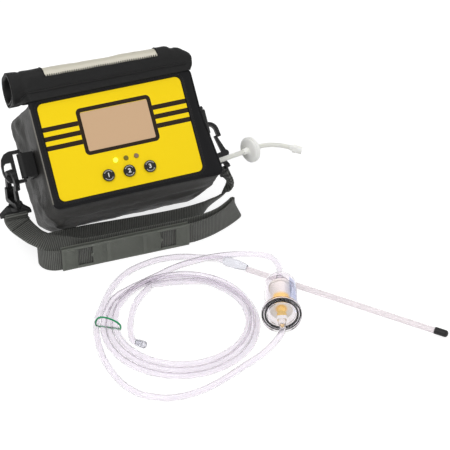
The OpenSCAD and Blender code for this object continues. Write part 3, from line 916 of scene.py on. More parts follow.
def sweep(name: str, path: Sequence[Vector], profile: Sequence[Flat],
          material: Material, across: Sequence[Vector] | None = None,
          bore: Sequence[Flat] | None = None) -> Object:
    """Sweeps a closed profile along a path.

    Args:
        name: The piece's name.
        path: The path in metres.
        profile: The profile's points, in metres across and up, counter-clockwise.
        material: The finish.
        across: The direction across the profile at each point; without it the profile doesn't twist.
        bore: The profile of a hole along the whole piece, with as many points.

    Returns:
        The object.
    """
    frames: list[tuple[Vector, Vector]] = []
    side = heading(path, 0).orthogonal().normalized()
    for i in range(len(path)):
        ahead = heading(path, i)
        side = across[i] if across is not None else side
        side = (side - ahead * side.dot(ahead)).normalized()
        frames.append((side.copy(), ahead.cross(side)))
    count = len(profile)
    points: list[Vector] = []
    cut: list[Flat] = []
    for ring in (profile, bore) if bore is not None else (profile,):
        along = 0.0
        for i, (a, b) in enumerate(frames):
            along += (path[i] - path[i - 1]).length if i else 0.0
            points += [path[i] + a * x + b * y for x, y in ring]
            cut += [(along, x) for x, _ in ring]
    rows = len(path)
    faces = ring_faces(rows, count)
    if bore is None:
        faces += end_faces(rows, count)
    else:
        inner = rows * count
        faces += [quad[::-1] for quad in ring_faces(rows, count, inner)]
        for start, flip in ((0, True), ((rows - 1) * count, False)):
            for k in range(count):
                m = (k + 1) % count
                quad = [start + k, start + m, inner + start + m, inner + start + k]
                faces.append(quad[::-1] if flip else quad)
    return close_up(piece(name, points, faces, material, cut))


def round_profile(radius: float, sides: int) -> list[Flat]:
    """Returns a circle's points, with the radius in mm."""
    return [(radius * MM * math.cos(2 * math.pi * k / sides), radius * MM * math.sin(2 * math.pi * k / sides))
            for k in range(sides)]


def flat_profile(width: float, thickness: float, columns: int = 10) -> list[Flat]:
    """Returns the section of webbing with rounded edges.

    Args:
        width: Its width in mm.
        thickness: Its thickness in mm.
        columns: Points along each flat side.

    Returns:
        The points in metres.
    """
    edge = thickness / 2
    reach = width / 2 - edge
    top = [(reach - 2 * reach * k / (columns - 1), edge) for k in range(columns)]
    left = [(-reach - edge * math.sin(a), edge * math.cos(a)) for a in (math.pi / 3, 2 * math.pi / 3)]
    return [(x * MM, y * MM) for x, y in top + left + [(-x, -y) for x, y in top] + [(-x, -y) for x, y in left]]


def rounded_loop(width: float, height: float, radius: float, x: float, z: float,
                 corner: int = 8, side: int = 24) -> list[Flat]:
    """Returns a loop round a rectangle with round corners.

    Args:
        width, height, radius: The rectangle in mm.
        x, z: Its middle in mm.
        corner: Steps round each corner.
        side: Steps along each side.

    Returns:
        The points, counter-clockwise from the lower right corner.
    """
    loop: list[Flat] = []
    spots = [(1, -1, -90), (1, 1, 0), (-1, 1, 90), (-1, -1, 180)]
    for i, (sx, sz, start) in enumerate(spots):
        cx, cz = x + sx * (width / 2 - radius), z + sz * (height / 2 - radius)
        arc = [(cx + radius * math.cos(math.radians(start + 90 * k / corner)),
                cz + radius * math.sin(math.radians(start + 90 * k / corner))) for k in range(corner + 1)]
        loop += arc
        nx, nz, nstart = spots[(i + 1) % 4]
        ex = x + nx * (width / 2 - radius) + radius * math.cos(math.radians(nstart))
        ez = z + nz * (height / 2 - radius) + radius * math.sin(math.radians(nstart))
        loop += [(arc[-1][0] + (ex - arc[-1][0]) * k / side, arc[-1][1] + (ez - arc[-1][1]) * k / side)
                 for k in range(1, side)]
    return loop


def loft(name: str, loops: Sequence[Sequence[Vector]], material: Material,
         cap: bool = False) -> Object:
    """Joins loops of equal point numbers into a skin.

    Args:
        name: The piece's name.
        loops: The loops in metres.
        material: The finish.
        cap: Whether the first and last loops are closed.

    Returns:
        The object.
    """
    rows, count = len(loops), len(loops[0])
    faces = ring_faces(rows, count) + (end_faces(rows, count) if cap else [])
    return close_up(piece(name, [point for loop in loops for point in loop], faces, material))


# ------------ Sewing ------------


@dataclass
class Sewing:
    """Rows of stitches, grown along a line.

    Attributes:
        thread: The thread's finish.
        pitch: From one stitch to the next, in mm.
        size: Half the size of one stitch across, up and along, in mm.
    """

    thread: Material
    pitch: float = 3.0
    size: Point = (0.32, 0.32, 1.1)

    def __post_init__(self) -> None:
        """Builds the tree that all rows use."""
        tree = GrowthTree("stitch_row", {"Pitch": "NodeSocketFloat", "Stitch": "NodeSocketVector"})
        line = tree.node("GeometryNodeMeshToCurve", {"Mesh": tree.given["Geometry"]})
        upright = tree.node("GeometryNodeSetCurveNormal", {"Curve": line.outputs[0]}, mode="Z_UP")
        spots = tree.node("GeometryNodeCurveToPoints", {"Curve": upright.outputs[0], "Length": tree.given["Pitch"]},
                          mode="LENGTH")
        stitch = tree.node("GeometryNodeMeshUVSphere", {"Segments": 6, "Rings": 5, "Radius": 1.0})
        rows = tree.node("GeometryNodeInstanceOnPoints", {
            "Points": spots.outputs["Points"], "Instance": stitch.outputs["Mesh"],
            "Rotation": spots.outputs["Rotation"], "Scale": tree.given["Stitch"]})
        tree.end(rows.outputs[0], self.thread)
        self.tree = tree

    def row(self, name: str, line: Sequence[Vector], pitch: float | None = None,
            size: Point | None = None) -> Object:
        """Sews one row.

        Args:
            name: The row's name.
            line: Where it runs, in metres.
            pitch: Another pitch in mm.
            size: Another stitch in mm.

        Returns:
            The row as a plain mesh.
        """
        mesh = bpy.data.meshes.new(name)
        mesh.from_pydata([tuple(p) for p in line], [(i, i + 1) for i in range(len(line) - 1)], [])
        return self.tree.grow(linked(name, mesh), {"Pitch": (pitch or self.pitch) * MM,
                                                   "Stitch": tuple(s * MM for s in size or self.size)})


# ------------ Sub-assemblies ------------


@dataclass
class Fold:
    """One soft ridge or crease on the case, in the case's upright frame.

    Attributes:
        start, end: Its two ends in mm.
        height: How far it stands out; below zero it is a crease.
        width: Its half width.
    """

    start: Point
    end: Point
    height: float
    width: float

    def lift(self, spot: Vector) -> float:
        """How far this fold moves a spot outwards, in mm.

        Args:
            spot: A spot in the case's own frame.

        Returns:
            The lift.
        """
        a, b = Vector(self.start), Vector(self.end)
        line = b - a
        t = ramp((spot - a).dot(line) / line.length_squared)
        gap = (spot - a - line * t).length / self.width
        return self.height * math.exp(-gap * gap) * (0.35 + 0.65 * math.sin(math.pi * min(max(t, 0.04), 0.96)))


@dataclass
class CarryingCase:
    """The padded case: its skin, front frame, back panel, piping and seams, in mm in its upright frame.

    Attributes:
        cloth, vinyl, cord: Its finishes; the cord finish is pale and paints a highlight along the left edge.
        sewing: Its stitches.
        width, height: Its size across the face.
        front, back: Where its face and its back are.
        edge: The radius of its edges.
        cell: The size of the skin's first cells.
        wall: The thickness of the skin's cloth.
        plate: The width, height and middle of the opening in the front frame.
        plate_corner: The radius of that opening's corners.
        panel: The width, height and corners of the panel in the back.
        tabs: How high up its left and its right side the ring tabs are.
        tab_zone: How deep a tab's place starts and ends, and half its height.
        port: The depth and height of the inlet port in its right side, and how far it holds the padding.
        roll_zone: How deep the flap's roll lies on the top.
        side, top: How far out its sides start, and how far under its height its top starts.
        swelling: How far the padding may swell on the right, on top and elsewhere.
        pressure, stiffness, mass, frames: How the padding's cloth is simulated.
        sag: How far the cloth hangs down under the case.
        belly: How far out that reaches at the left and at the right.
        lift: How far the rear left corner stands up, and how far it leans in.
        flare: How far the lower right corner is pulled out and down.
        foot: How far the lower left edge hangs out and down.
        rumples: The size and height of the wide rumples, then of the small ones.
        section: The front frame's section: how far from its outer to its inner edge, and how deep.
        folds: Its soft ridges and creases.
    """

    cloth: Material
    vinyl: Material
    cord: Material
    sewing: Sewing
    width: float = 173.0
    height: float = 114.0
    front: float = -122.0
    back: float = 3.7
    edge: float = 6.0
    cell: float = 5.0
    wall: float = 1.4
    plate: tuple[float, float, float, float] = (152.8, 101.2, -2.5, 57.2)
    plate_corner: float = 6.4
    panel: Point = (147.0, 88.0, 8.0)
    tabs: Flat = (56.0, 61.0)
    tab_zone: Point = (-92.0, -54.0, 16.0)
    port: Point = (-96.5, 14.6, 14.0)
    roll_zone: float = -70.0
    side: float = 80.0
    top: float = 8.0
    swelling: Point = (4.5, 3.5, 3.2)
    pressure: float = 4.0
    stiffness: float = 12.0
    mass: float = 0.3
    frames: int = 20
    sag: float = 10.0
    belly: Flat = (108.0, 96.0)
    lift: Flat = (5.5, 1.5)
    flare: Flat = (8.0, 1.5)
    foot: Flat = (4.5, 2.0)
    rumples: tuple[Flat, Flat] = ((26.0, 1.1), (9.0, 0.35))
    section: tuple[Flat, ...] = (
        (0.0, 3.0), (0.0, 1.0), (0.02, 0.2), (0.07, -0.4), (0.2, -0.9), (0.45, -1.1), (0.7, -0.9), (0.88, -0.4),
        (0.97, 0.1), (1.0, 0.9), (1.0, 2.4), (0.5, 3.0), (0.0, 3.0))
    folds: tuple[Fold, ...] = (
        Fold((-86, -6, 110), (-86, -52, 70), 3.0, 7), Fold((-86, -26, 114), (-86, -62, 88), 2.2, 5),
        Fold((-86, -14, 96), (-86, -40, 60), -2.4, 5), Fold((-86, -44, 112), (-86, -72, 98), -1.4, 4),
        Fold((-86, -8, 70), (-86, -30, 20), 1.6, 7), Fold((-86, -50, 30), (-86, -104, 8), 1.4, 6),
        Fold((-80, -112, 2), (-86, -92, 10), 2.2, 6), Fold((-70, -116, 0), (-76, -84, 0), 2.6, 6),
        Fold((-84, -108, 0), (-60, -100, 0), -2.0, 5), Fold((-60, -110, 0), (70, -110, 0), 1.3, 5),
        Fold((-66, -100, 0), (60, -98, 0), -1.3, 4), Fold((-50, -90, 0), (76, -88, 0), 1.2, 5),
        Fold((86, -112, 108), (86, -96, 60), 2.4, 7), Fold((86, -110, 50), (86, -90, 20), 1.2, 6),
        Fold((86, -60, 110), (86, -30, 60), 2.0, 7), Fold((80, -100, 0), (86, -70, 12), 2.2, 6),
        Fold((86, -72, 6), (86, -30, 14), 5.5, 15), Fold((-84, -116, 4), (-86, -84, 0), 3.0, 10),
        Fold((-40, -30, 114), (40, -20, 114), 1.8, 9), Fold((-70, -50, 114), (-20, -60, 114), 1.2, 6))

    def build(self) -> None:
        """Builds all pieces of the case."""
        self._skin()
        self._frame()
        self._panel()
        self._piping()
        self._seams()

    def _box(self) -> Object:
        """Builds the case's rounded shape, open at the front.

        Returns:
            The box.
        """
        inset = 1.2
        low = Vector((-self.width / 2 + inset, self.front + 0.6 - self.edge - 2, inset))
        high = Vector((self.width / 2 - inset, self.back - inset, self.height - inset))
        counts = [round((high[i] - low[i]) / self.cell) for i in range(3)]
        shell = bmesh.new()

        def corner(axis: int, level: float, i: int, j: int) -> bmesh.types.BMVert:
            """Adds one point of a side and draws it in where the edges are round.

            Args:
                axis: The side's direction.
                level: How far out the side is.
                i, j: The point's place in the side.

            Returns:
                The point.
            """
            u, v = (axis + 1) % 3, (axis + 2) % 3
            spot = Vector((0, 0, 0))
            spot[axis] = level
            spot[u] = low[u] + (high[u] - low[u]) * i / counts[u]
            spot[v] = low[v] + (high[v] - low[v]) * j / counts[v]
            core = Vector([min(max(spot[k], low[k] + self.edge), high[k] - self.edge) for k in range(3)])
            away = spot - core
            return shell.verts.new(core + away.normalized() * self.edge if away.length > 0 else spot)

        for axis in range(3):
            across, up = counts[(axis + 1) % 3], counts[(axis + 2) % 3]
            for level, flip in ((low[axis], True), (high[axis], False)):
                grid = [[corner(axis, level, i, j) for j in range(up + 1)] for i in range(across + 1)]
                for i in range(across):
                    for j in range(up):
                        quad = [grid[i][j], grid[i + 1][j], grid[i + 1][j + 1], grid[i][j + 1]]
                        shell.faces.new(quad[::-1] if flip else quad)
        bmesh.ops.remove_doubles(shell, verts=shell.verts, dist=0.01)
        bmesh.ops.bisect_plane(shell, geom=shell.verts[:] + shell.edges[:] + shell.faces[:], dist=0.001,
                               plane_co=(0, self.front + 0.6, 0), plane_no=(0, -1, 0), clear_outer=True)
        bmesh.ops.recalc_face_normals(shell, faces=shell.faces)
        mesh = bpy.data.meshes.new("case_skin")
        shell.to_mesh(mesh)
        shell.free()
        mesh.materials.append(self.cloth)
        return linked("case_skin", mesh)

    def _held(self, spot: Vector) -> float:
        """How firmly the padding is held at a spot, from 0 to 1.

        Args:
            spot: A spot in the case's own frame.

        Returns:
            The hold.
        """
        tab = self.tabs[0] if spot.x < 0 else self.tabs[1]
        start, end, half = self.tab_zone
        on_tab = abs(spot.x) > self.side and start < spot.y < end and abs(spot.z - tab) < half
        under_roll = spot.z > self.height - self.top and spot.y < self.roll_zone
        depth, high, reach = self.port
        at_port = spot.x > self.side and math.hypot(spot.y - depth, spot.z - high) < reach
        return 1.0 if on_tab or under_roll or at_port else ramp((self.front + 14 - spot.y) / 10)

    def _swell(self, skin: Object) -> list[Vector]:
        """Args:
            skin: The skin at rest.

        Returns:
            How far each point moves.
        """
        rest = [v.co.copy() for v in skin.data.vertices]
        skin.data.transform(Matrix.Scale(MM, 4))
        group = skin.vertex_groups.new(name="held")
        for i, spot in enumerate(rest):
            group.add([i], self._held(spot), "REPLACE")
        cloth = skin.modifiers.new("padding", "CLOTH")
        cloth.settings.quality = 5
        cloth.settings.mass = self.mass
        cloth.settings.tension_stiffness = cloth.settings.compression_stiffness = self.stiffness
        cloth.settings.vertex_group_mass = group.name
        cloth.settings.use_pressure = True
        cloth.settings.uniform_pressure_force = self.pressure
        cloth.settings.effector_weights.gravity = 0
        cloth.collision_settings.use_collision = False
        for frame in range(1, self.frames + 1):
            bpy.context.scene.frame_set(frame)
        ready = skin.evaluated_get(bpy.context.evaluated_depsgraph_get())
        moves = [v.co / MM - rest[i] for i, v in enumerate(ready.data.vertices)]
        skin.modifiers.clear()
        skin.vertex_groups.clear()
        bpy.context.scene.frame_set(1)
        skin.data.transform(Matrix.Scale(1 / MM, 4))
        return moves

    def _settle(self, spot: Vector) -> Vector:
        """How far the cloth hangs down under the case and is drawn out at its corners.

        Args:
            spot: A spot in the case's own frame.

        Returns:
            The shift in mm.
        """
        depth = ramp((spot.y - self.front) / (self.back - self.front))
        belly = math.sin(math.pi * depth) ** 0.6
        side = 1 - min(1.0, abs(spot.x) / self.belly[spot.x > 0]) ** 8
        sag = self.sag * belly * side * max(0.0, 1 - spot.z / 16)
        corner = ramp((-spot.x - 40) / 46) * ramp((spot.y + 85) / 60) * max(0.0, (spot.z - 70) / 44)
        foot = ramp((-spot.x - 50) / 36) * max(0.0, 1 - spot.z / 34) * belly
        out, drop = self._flare(spot.x, spot.z)
        ahead = 1 - 0.6 * depth
        return Vector((out * ahead - self.lift[1] * corner - self.foot[0] * foot, 0,
                       self.lift[0] * corner - sag - self.foot[1] * foot + drop * ahead))

    def _flare(self, x: float, z: float) -> Flat:
        """How far the lower right corner is pulled out and up at a place on the face."""
        pull = ramp((x - 30) / 56) * max(0.0, 1 - z / 70)
        return self.flare[0] * pull, -self.flare[1] * pull

    def _edge_loop(self, inset: float) -> list[Flat]:
        """A loop round the face, with the pulled corner, that far inside the case's sides."""
        loop = rounded_loop(self.width - 2 * inset, self.height - 2 * inset, self.edge, 0, self.height / 2)
        return [(x + self._flare(x, z)[0], z + self._flare(x, z)[1]) for x, z in loop]

    def _cap(self, spot: Vector) -> float:
        """How far the padding may swell at a spot.

        Args:
            spot: A spot in the case's own frame.

        Returns:
            The limit in mm.
        """
        right, top, elsewhere = self.swelling
        if spot.x > self.side:
            return right
        return top if spot.z > self.height - self.top else elsewhere

    def _skin(self) -> None:
        """Builds the padded skin."""
        skin = self._box()
        mesh = skin.data
        for v, move in zip(mesh.vertices, self._swell(skin)):
            cap = self._cap(v.co)
            v.co += (move.normalized() * cap if move.length > cap else move) * (1 - self._held(v.co))
        shell = bmesh.new()
        shell.from_mesh(mesh)
        bmesh.ops.subdivide_edges(shell, edges=shell.edges, cuts=1, use_grid_fill=True, smooth=0.3)
        shell.to_mesh(mesh)
        shell.free()
        mesh.update()
        (wide, high), (small, low) = self.rumples
        for v, normal in zip(mesh.vertices, [v.normal.copy() for v in mesh.vertices]):
            spot = v.co.copy()
            free = 1 - 0.8 * self._held(spot)
            rumple = noise.fractal(spot / wide, 0.9, 2.1, 4) * high + noise.noise(spot / small) * low
            lift = sum(fold.lift(spot) for fold in self.folds)
            v.co = spot + normal * (rumple * 0.9 + lift) * free + self._settle(spot)
        mesh.transform(CASE)
        for v in mesh.vertices:
            v.co.z = max(v.co.z, 0.6 * MM)
        mesh.polygons.foreach_set("use_smooth", [True] * len(mesh.polygons))
        mesh.update()
        close_up(skin)
        thicken(skin, self.wall, -1.0, 1)
        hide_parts("case_body")
        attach(skin, "case")

    def _frame(self) -> None:
        """Builds the stitched vinyl frame round the face plate."""
        width, height, x, z = self.plate
        outer = self._edge_loop(0.3)
        inner = rounded_loop(width, height, self.plate_corner, x, z)
        loops = []
        for t, deep in self.section:
            wave = [0.25 * noise.noise(Vector((a[0], t, a[1])) / 14) for a in outer]
            loops.append([CASE @ Vector((a[0] + (b[0] - a[0]) * t, self.front + deep + w, a[1] + (b[1] - a[1]) * t))
                          for a, b, w in zip(outer, inner, wave)])
        frame = loft("frame_vinyl", loops, self.vinyl)
        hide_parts("front_frame")
        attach(frame, "case")

    def _panel(self) -> None:
        """Builds the crowned panel sewn into the back."""
        width, height, corner = self.panel
        loops = []
        for t in (1.0, 0.985, 0.9, 0.75, 0.55, 0.35, 0.15, 0.02):
            y = self.back + (0.4 if t < 1 else -4.5) + 2.6 * (1 - t * t)
            loops.append([CASE @ Vector((x, y, z))
                          for x, z in rounded_loop(width * t, height * t, corner * t, 0, self.height / 2)])
        panel = loft("back_panel_cloth", loops, self.cloth, cap=True)
        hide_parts("case_back_panel")
        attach(panel, "case")

    def _piping(self) -> None:
        """Builds the corded edge round the face and a pale strip at its left that paints a highlight."""
        loop = self._edge_loop(0.8)
        path = [CASE @ Vector((x, self.front - 0.35, z)) for x, z in loop + loop[:1]]
        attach(sweep("front_piping", path, round_profile(0.85, 10), self.vinyl), "case")
        # A thin pale strip along the left front edge paints a highlight there.
        left = [CASE @ Vector((-self.width / 2 + 0.1, self.front - 0.7, z)) for z in range(6, 106, 2)]
        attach(sweep("left_painted_highlight", left, round_profile(0.75, 8), self.cord), "case")
        LOG.info("front piping: %.0f mm", length_of(path) / MM)

    def _seams(self) -> None:
        """Sews the rows of stitches on the frame and the tabs."""
        width, height, x, z = self.plate
        gap = 2.6
        loop = rounded_loop(width + 2 * gap, height + 2 * gap, 8.6, x, z)
        line = [CASE @ Vector((a, self.front - 0.95, b)) for a, b in loop + loop[:1]]
        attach(self.sewing.row("frame_stitches", line, 3.0), "case")
        for side, letter, tab in zip((-1, 1), "lr", self.tabs):
            for up, row in ((-9.5, "a"), (9.5, "b")):
                line = [CASE @ Vector((side * (self.width / 2 + 3.75), y, tab + up)) for y in range(-80, -59, 2)]
                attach(self.sewing.row(f"tab_stitches_{letter}{row}", line, 2.4), "case")


@dataclass
class CoverFlap:
    """The cover flap, rolled up on top of the case, with its clear window; sizes are in mm.

    Attributes:
        cloth, film: Its finishes.
        sewing: Its stitches.
        length, start: The roll's length along the case, and where it starts.
        depth, height: The roll's oval section at its start.
        front, base: Where the lower front corner of that section is on the case.
        end: How much smaller its depth and height are at its right end.
        window: Where the window starts and ends along the case.
        sill: How high round the roll the window starts.
        turns: How many turns the cloth makes.
        gap: How far one turn lies inside the other.
        wound: After how many turns it lies inside itself, and over what part of a turn it goes in.
        lumps: The size of its lumps along, across and up.
        hem: How high the hem hangs in front of the case.
        hang: Where it starts to hang at the left, and over what length.
        welt: Where the welt runs, in turns.
        pinch: Where the left end is sewn narrower, how far that reaches, and how deep it is.
        crease: The same for the crease near the right end.
        slack: Where the roll starts to fall in at the right, and over what length.
        crush: How much lower it is there.
        cloth_inset, film_inset, on_top: How far inside the oval the cloth's middle, the film's middle and the
            stitches lie.
    """

    cloth: Material
    film: Material
    sewing: Sewing
    length: float = 190.0
    start: float = -99.5
    depth: float = 48.0
    height: float = 33.0
    front: float = -125.0
    base: float = 114.3
    end: Flat = (0.86, 0.86)
    window: Flat = (-63.0, 56.0)
    sill: float = 19.8
    turns: float = 2.15
    gap: float = 3.1
    wound: Flat = (0.78, 0.22)
    lumps: Point = (24.0, 22.0, 16.0)
    hem: float = -3.2
    hang: Flat = (-93.0, 8.0)
    welt: float = 0.115
    pinch: Point = (-87.0, 1.8, 0.9)
    crease: Point = (74.0, 3.2, 2.2)
    slack: Flat = (64.0, 26.5)
    crush: float = 0.42
    cloth_inset: float = 0.8
    film_inset: float = 1.1
    on_top: float = -0.1

    def _outline(self, u: float, inset: float) -> Flat:
        """One point of the roll's oval section.

        Args:
            u: How far round it, in turns from the middle of the underside, up the front first.
            inset: How far inside the outer oval.

        Returns:
            Depth and height from the roll's lower front corner.
        """
        r = self.height / 2
        flat = self.depth - self.height
        radius = r - inset
        arc = math.pi * radius
        s = (u % 1.0) * (2 * math.pi * radius + 2 * flat)
        if s < flat / 2:
            return r + flat / 2 - s, inset
        s -= flat / 2
        if s < arc:
            a = -math.pi / 2 - s / radius
            return r + radius * math.cos(a), r + radius * math.sin(a)
        s -= arc
        if s < flat:
            return r + s, self.height - inset
        s -= flat
        if s < arc:
            a = math.pi / 2 - s / radius
            return r + flat + radius * math.cos(a), r + radius * math.sin(a)
        return r + flat - (s - arc), inset

    def _spot(self, x: float, u: float, inset: float) -> Vector:
        """A point of the rolled sheet, in the shared frame.

        Args:
            x: Along the case.
            u: Turns from the underside.
            inset: Extra distance inside.

        Returns:
            The point in metres.
        """
        wound = max(0.0, u - self.wound[0])
        turn = inset + self.pinch[2] * hump(x, *self.pinch[:2]) + self.gap * wound * min(1.0, wound / self.wound[1])
        y, z = self._outline(u, min(turn, self.height / 2 - 3))
        s = (x - self.start) / self.length
        slack = max(0.0, (x - self.slack[0]) / self.slack[1])
        high = (1 - (1 - self.end[1]) * s) * (1 - self.crush * slack * slack)
        y, z = y * (1 - (1 - self.end[0]) * s), z * high
        floor = quarter = 0.25
        if u < quarter:
            hang = ramp((x - self.hang[0]) / self.hang[1])
            t = u / quarter
            y += (turn + 0.5 * math.sin(math.pi * t) - y) * hang
            z += (self.hem + (self.height / 2 * high - self.hem) * t - z) * hang
            floor += (self.hem - floor) * hang
            x -= 4.2 * (1 - t) * max(0.0, (x - 80) / 10.5)
        lump = Vector([value / size for value, size in zip((x, y, z), self.lumps)])
        loose = min(slack, 1.2)
        wide = noise.noise(lump) * (0.8 + 2.2 * loose) + noise.noise(lump * 3.1) * (0.25 + 0.9 * loose)
        upper = ramp((z - 8) / 12)
        sag = -0.2 * math.sin(math.pi * s) * upper - self.crease[2] * hump(x, *self.crease[:2]) * upper
        rise = z + (wide + sag) * ramp(z / 6)
        out = wide * 0.5 * min(1.0, max(0.15, z / 8))
        return CASE @ Vector((x, self.front + y + out, self.base + max(floor, rise)))

    def _sheet(self, name: str, columns: Sequence[float], rows: Sequence[float], inset: float,
               material: Material, hole: Callable[[float, float], bool] | None = None) -> Object:
        """Builds a part of the rolled sheet.

        Args:
            name: The piece's name.
            columns: Places along the case.
            rows: Places round the roll in turns.
            inset: Its middle surface inside the outer oval.
            material: The finish.
            hole: Whether a cell at a place is left out.

        Returns:
            The sheet without thickness.
        """
        wide = len(columns)
        points = [self._spot(x, u, inset) for u in rows for x in columns]
        cut: list[Flat] = []
        along = 0.0
        for j in range(len(rows)):
            along += (points[j * wide] - points[(j - 1) * wide]).length if j else 0.0
            cut += [(x * MM, along) for x in columns]

        def left_out(i: int, j: int) -> bool:
            """Whether the middle of a cell is in the hole."""
            return bool(hole) and hole((columns[i] + columns[i + 1]) / 2, (rows[j] + rows[j + 1]) / 2)

        return drop_loose(piece(name, points, grid_faces(wide, len(rows), left_out), material, cut))

    def _sill_turns(self) -> Flat:
        """Where the window starts and ends round the roll.

        Returns:
            Both turns.
        """
        steps = 2000
        high = [i / steps for i in range(steps + 1) if self._outline(i / steps, 0)[1] >= self.sill]
        return high[0], high[-1]

    def build(self) -> None:
        """Builds the rolled cloth, the window and the stitches."""
        low, high = self._sill_turns()
        left, right = self.window
        columns = sorted({self.start + self.length * i / 76 for i in range(77)} | {left, right})
        rows = sorted({self.turns * i / 190 for i in range(191)} | {low, high})

        def hole(x: float, u: float) -> bool:
            """Whether the cloth is cut out for the window there."""
            return left < x < right and low < u < high

        cloth = self._sheet("flap_cloth", columns, rows, self.cloth_inset, self.cloth, hole)
        path = [self._spot(0, u, self.cloth_inset) for u in rows]
        thicken(cloth, 1.2)
        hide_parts("flap")
        length_of(path)
        self._bend(cloth)
        under = 3
        wide = right - left + 2 * under
        columns = [left - under + wide * i / 50 for i in range(51)]
        rows = [low - 0.02 + (high - low + 0.04) * j / 40 for j in range(41)]
        film = self._sheet("window_film", columns, rows, self.film_inset, self.film)
        flat = sum(p.area for p in film.data.polygons)
        thicken(film, 0.5)
        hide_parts("flap_window")
        wide * MM
        flat / (wide * MM)
        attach(film, "flap")
        self._edges(low, high)
        LOG.info("rolled flap: %.0f mm of cloth", length_of(path) / MM)

    def _edges(self, low: float, high: float) -> None:
        """Adds the window's overlock stitches, the welt and the side seams.

        Args:
            low, high: Where the window starts and ends round the roll, in turns.
        """
        left, right = self.window
        sill = [self._spot(left + (right - left) * i / 40, low + 0.005, self.on_top) for i in range(41)]
        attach(self.sewing.row("window_overlock", sill, 2.3, (0.5, 1.7, 0.55)), "flap")
        for name, x in (("window_side_left", left - 1.2), ("window_side_right", right + 1.2)):
            side = [self._spot(x, low + (high - low) * i / 24, self.on_top) for i in range(25)]
            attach(self.sewing.row(name, side, 2.6, (0.35, 0.35, 0.9)), "flap")
        line = [self.start + 8 + (self.length - 16) * i / 60 for i in range(61)]
        welt = sweep("flap_welt", [self._spot(x, self.welt, 0.3) for x in line], round_profile(1.15, 8), self.cloth)
        self._bend(welt)
        over = [self._spot(x, self.welt + 0.022, self.on_top) for x in line]
        self._bend(self.sewing.row("welt_stitches", over, 3.0))

    def _bend(self, obj: Object) -> None:
        """Bakes a piece's transform into its mesh."""
        start, end = (CASE @ Vector((0.0, self.front + y, self.base + z)) for y, z in ((0.5, -3.3), (7.0, 0.4)))
        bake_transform(obj)


@dataclass
class Instrument:
    """The instrument's own pieces, with the marks on its keys; sizes are in mm.

    Attributes:
        finishes: The finish of each CAD piece, by the piece's name.
        mark: The finish of the keys' marks.
        key_x, key_z, key_face: Where the middles of the keys' faces are.
        numeral: A numeral's size, and how much bolder than its type it is.
        ring: The radius of the ring of ticks.
        tick: Half a tick's length, width and thickness.
    """

    finishes: dict[str, Material]
    mark: Material
    key_x: Point = (-24.5, -2.5, 19.5)
    key_z: float = 23.0
    key_face: float = -123.3
    numeral: Flat = (6.0, 0.2)
    ring: float = 4.75
    tick: Point = (0.5, 0.3, 0.06)

    def dress(self, nodes: dict[str, Object]) -> None:
        """Gives each of its CAD pieces its finish.

        Args:
            nodes: The CAD pieces by name.
        """
        for name, material in self.finishes.items():
            node = nodes[name]
            for slot in node.material_slots:
                slot.link = "OBJECT"
                slot.material = material
            if not node.material_slots:
                node.data.materials.append(material)

    def build(self) -> None:
        """Puts a plain numeral and a ring of ticks on each key."""
        for number, (body, x) in enumerate(zip(("left_key", "middle_key", "right_key"), self.key_x), start=1):
            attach(self._numeral(number, x), body)
            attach(self._ticks(f"key_ticks_{number}", x), body)

    def _numeral(self, number: int, x: float) -> Object:
        """Makes one raised numeral.

        Args:
            number: What it shows.
            x: Its place along the case.

        Returns:
            The numeral as a mesh.
        """
        curve = bpy.data.curves.new(f"key_numeral_{number}", "FONT")
        curve.body = str(number)
        curve.size, curve.offset = self.numeral
        curve.extrude = 0.08
        curve.align_x, curve.align_y = "CENTER", "CENTER"
        made = linked(curve.name, curve)
        mesh = bpy.data.meshes.new_from_object(made.evaluated_get(bpy.context.evaluated_depsgraph_get()))
        bpy.data.objects.remove(made)
        spot = Matrix.Translation((x, self.key_face - 0.02, self.key_z))
        mesh.transform(CASE @ spot @ Matrix.Rotation(math.pi / 2, 4, "X"))
        mesh.materials.clear()
        mesh.materials.append(self.mark)
        return close_up(linked(f"key_numeral_{number}", mesh))

    def _ticks(self, name: str, x: float) -> Object:
        """Makes a ring of small ticks, with gaps at both sides.

        Args:
            name: The piece's name.
            x: The key's place along the case.

        Returns:
            The ticks.
        """
        long, wide, thick = self.tick
        around = ((-long, -wide), (long, -wide), (long, wide), (-long, wide))
        box = ((0, 1, 2, 3), (7, 6, 5, 4), (0, 4, 5, 1), (1, 5, 6, 2), (2, 6, 7, 3), (3, 7, 4, 0))
        points: list[Vector] = []
        faces: list[list[int]] = []
        for step in range(24):
            angle = math.radians(7.5 + 15 * step)
            if abs(math.sin(angle)) < 0.4:
                continue
            out = Vector((math.cos(angle), 0, math.sin(angle)))
            side = Vector((-out.z, 0, out.x))
            middle = Vector((x, self.key_face - 0.04, self.key_z)) + out * self.ring
            faces += [[len(points) + k for k in quad] for quad in box]
            points += [CASE @ (middle + out * du + side * dv + Vector((0, dy, 0)))
                       for dy in (thick, -thick) for du, dv in around]
        return close_up(piece(name, points, faces, self.mark))


class PadPart(Enum):
    """The two plates of the shoulder pad, with where each starts and ends in its thickness, in mm."""

    FRONT = (-3.4, -1.2)
    REAR = (1.3, 3.1)


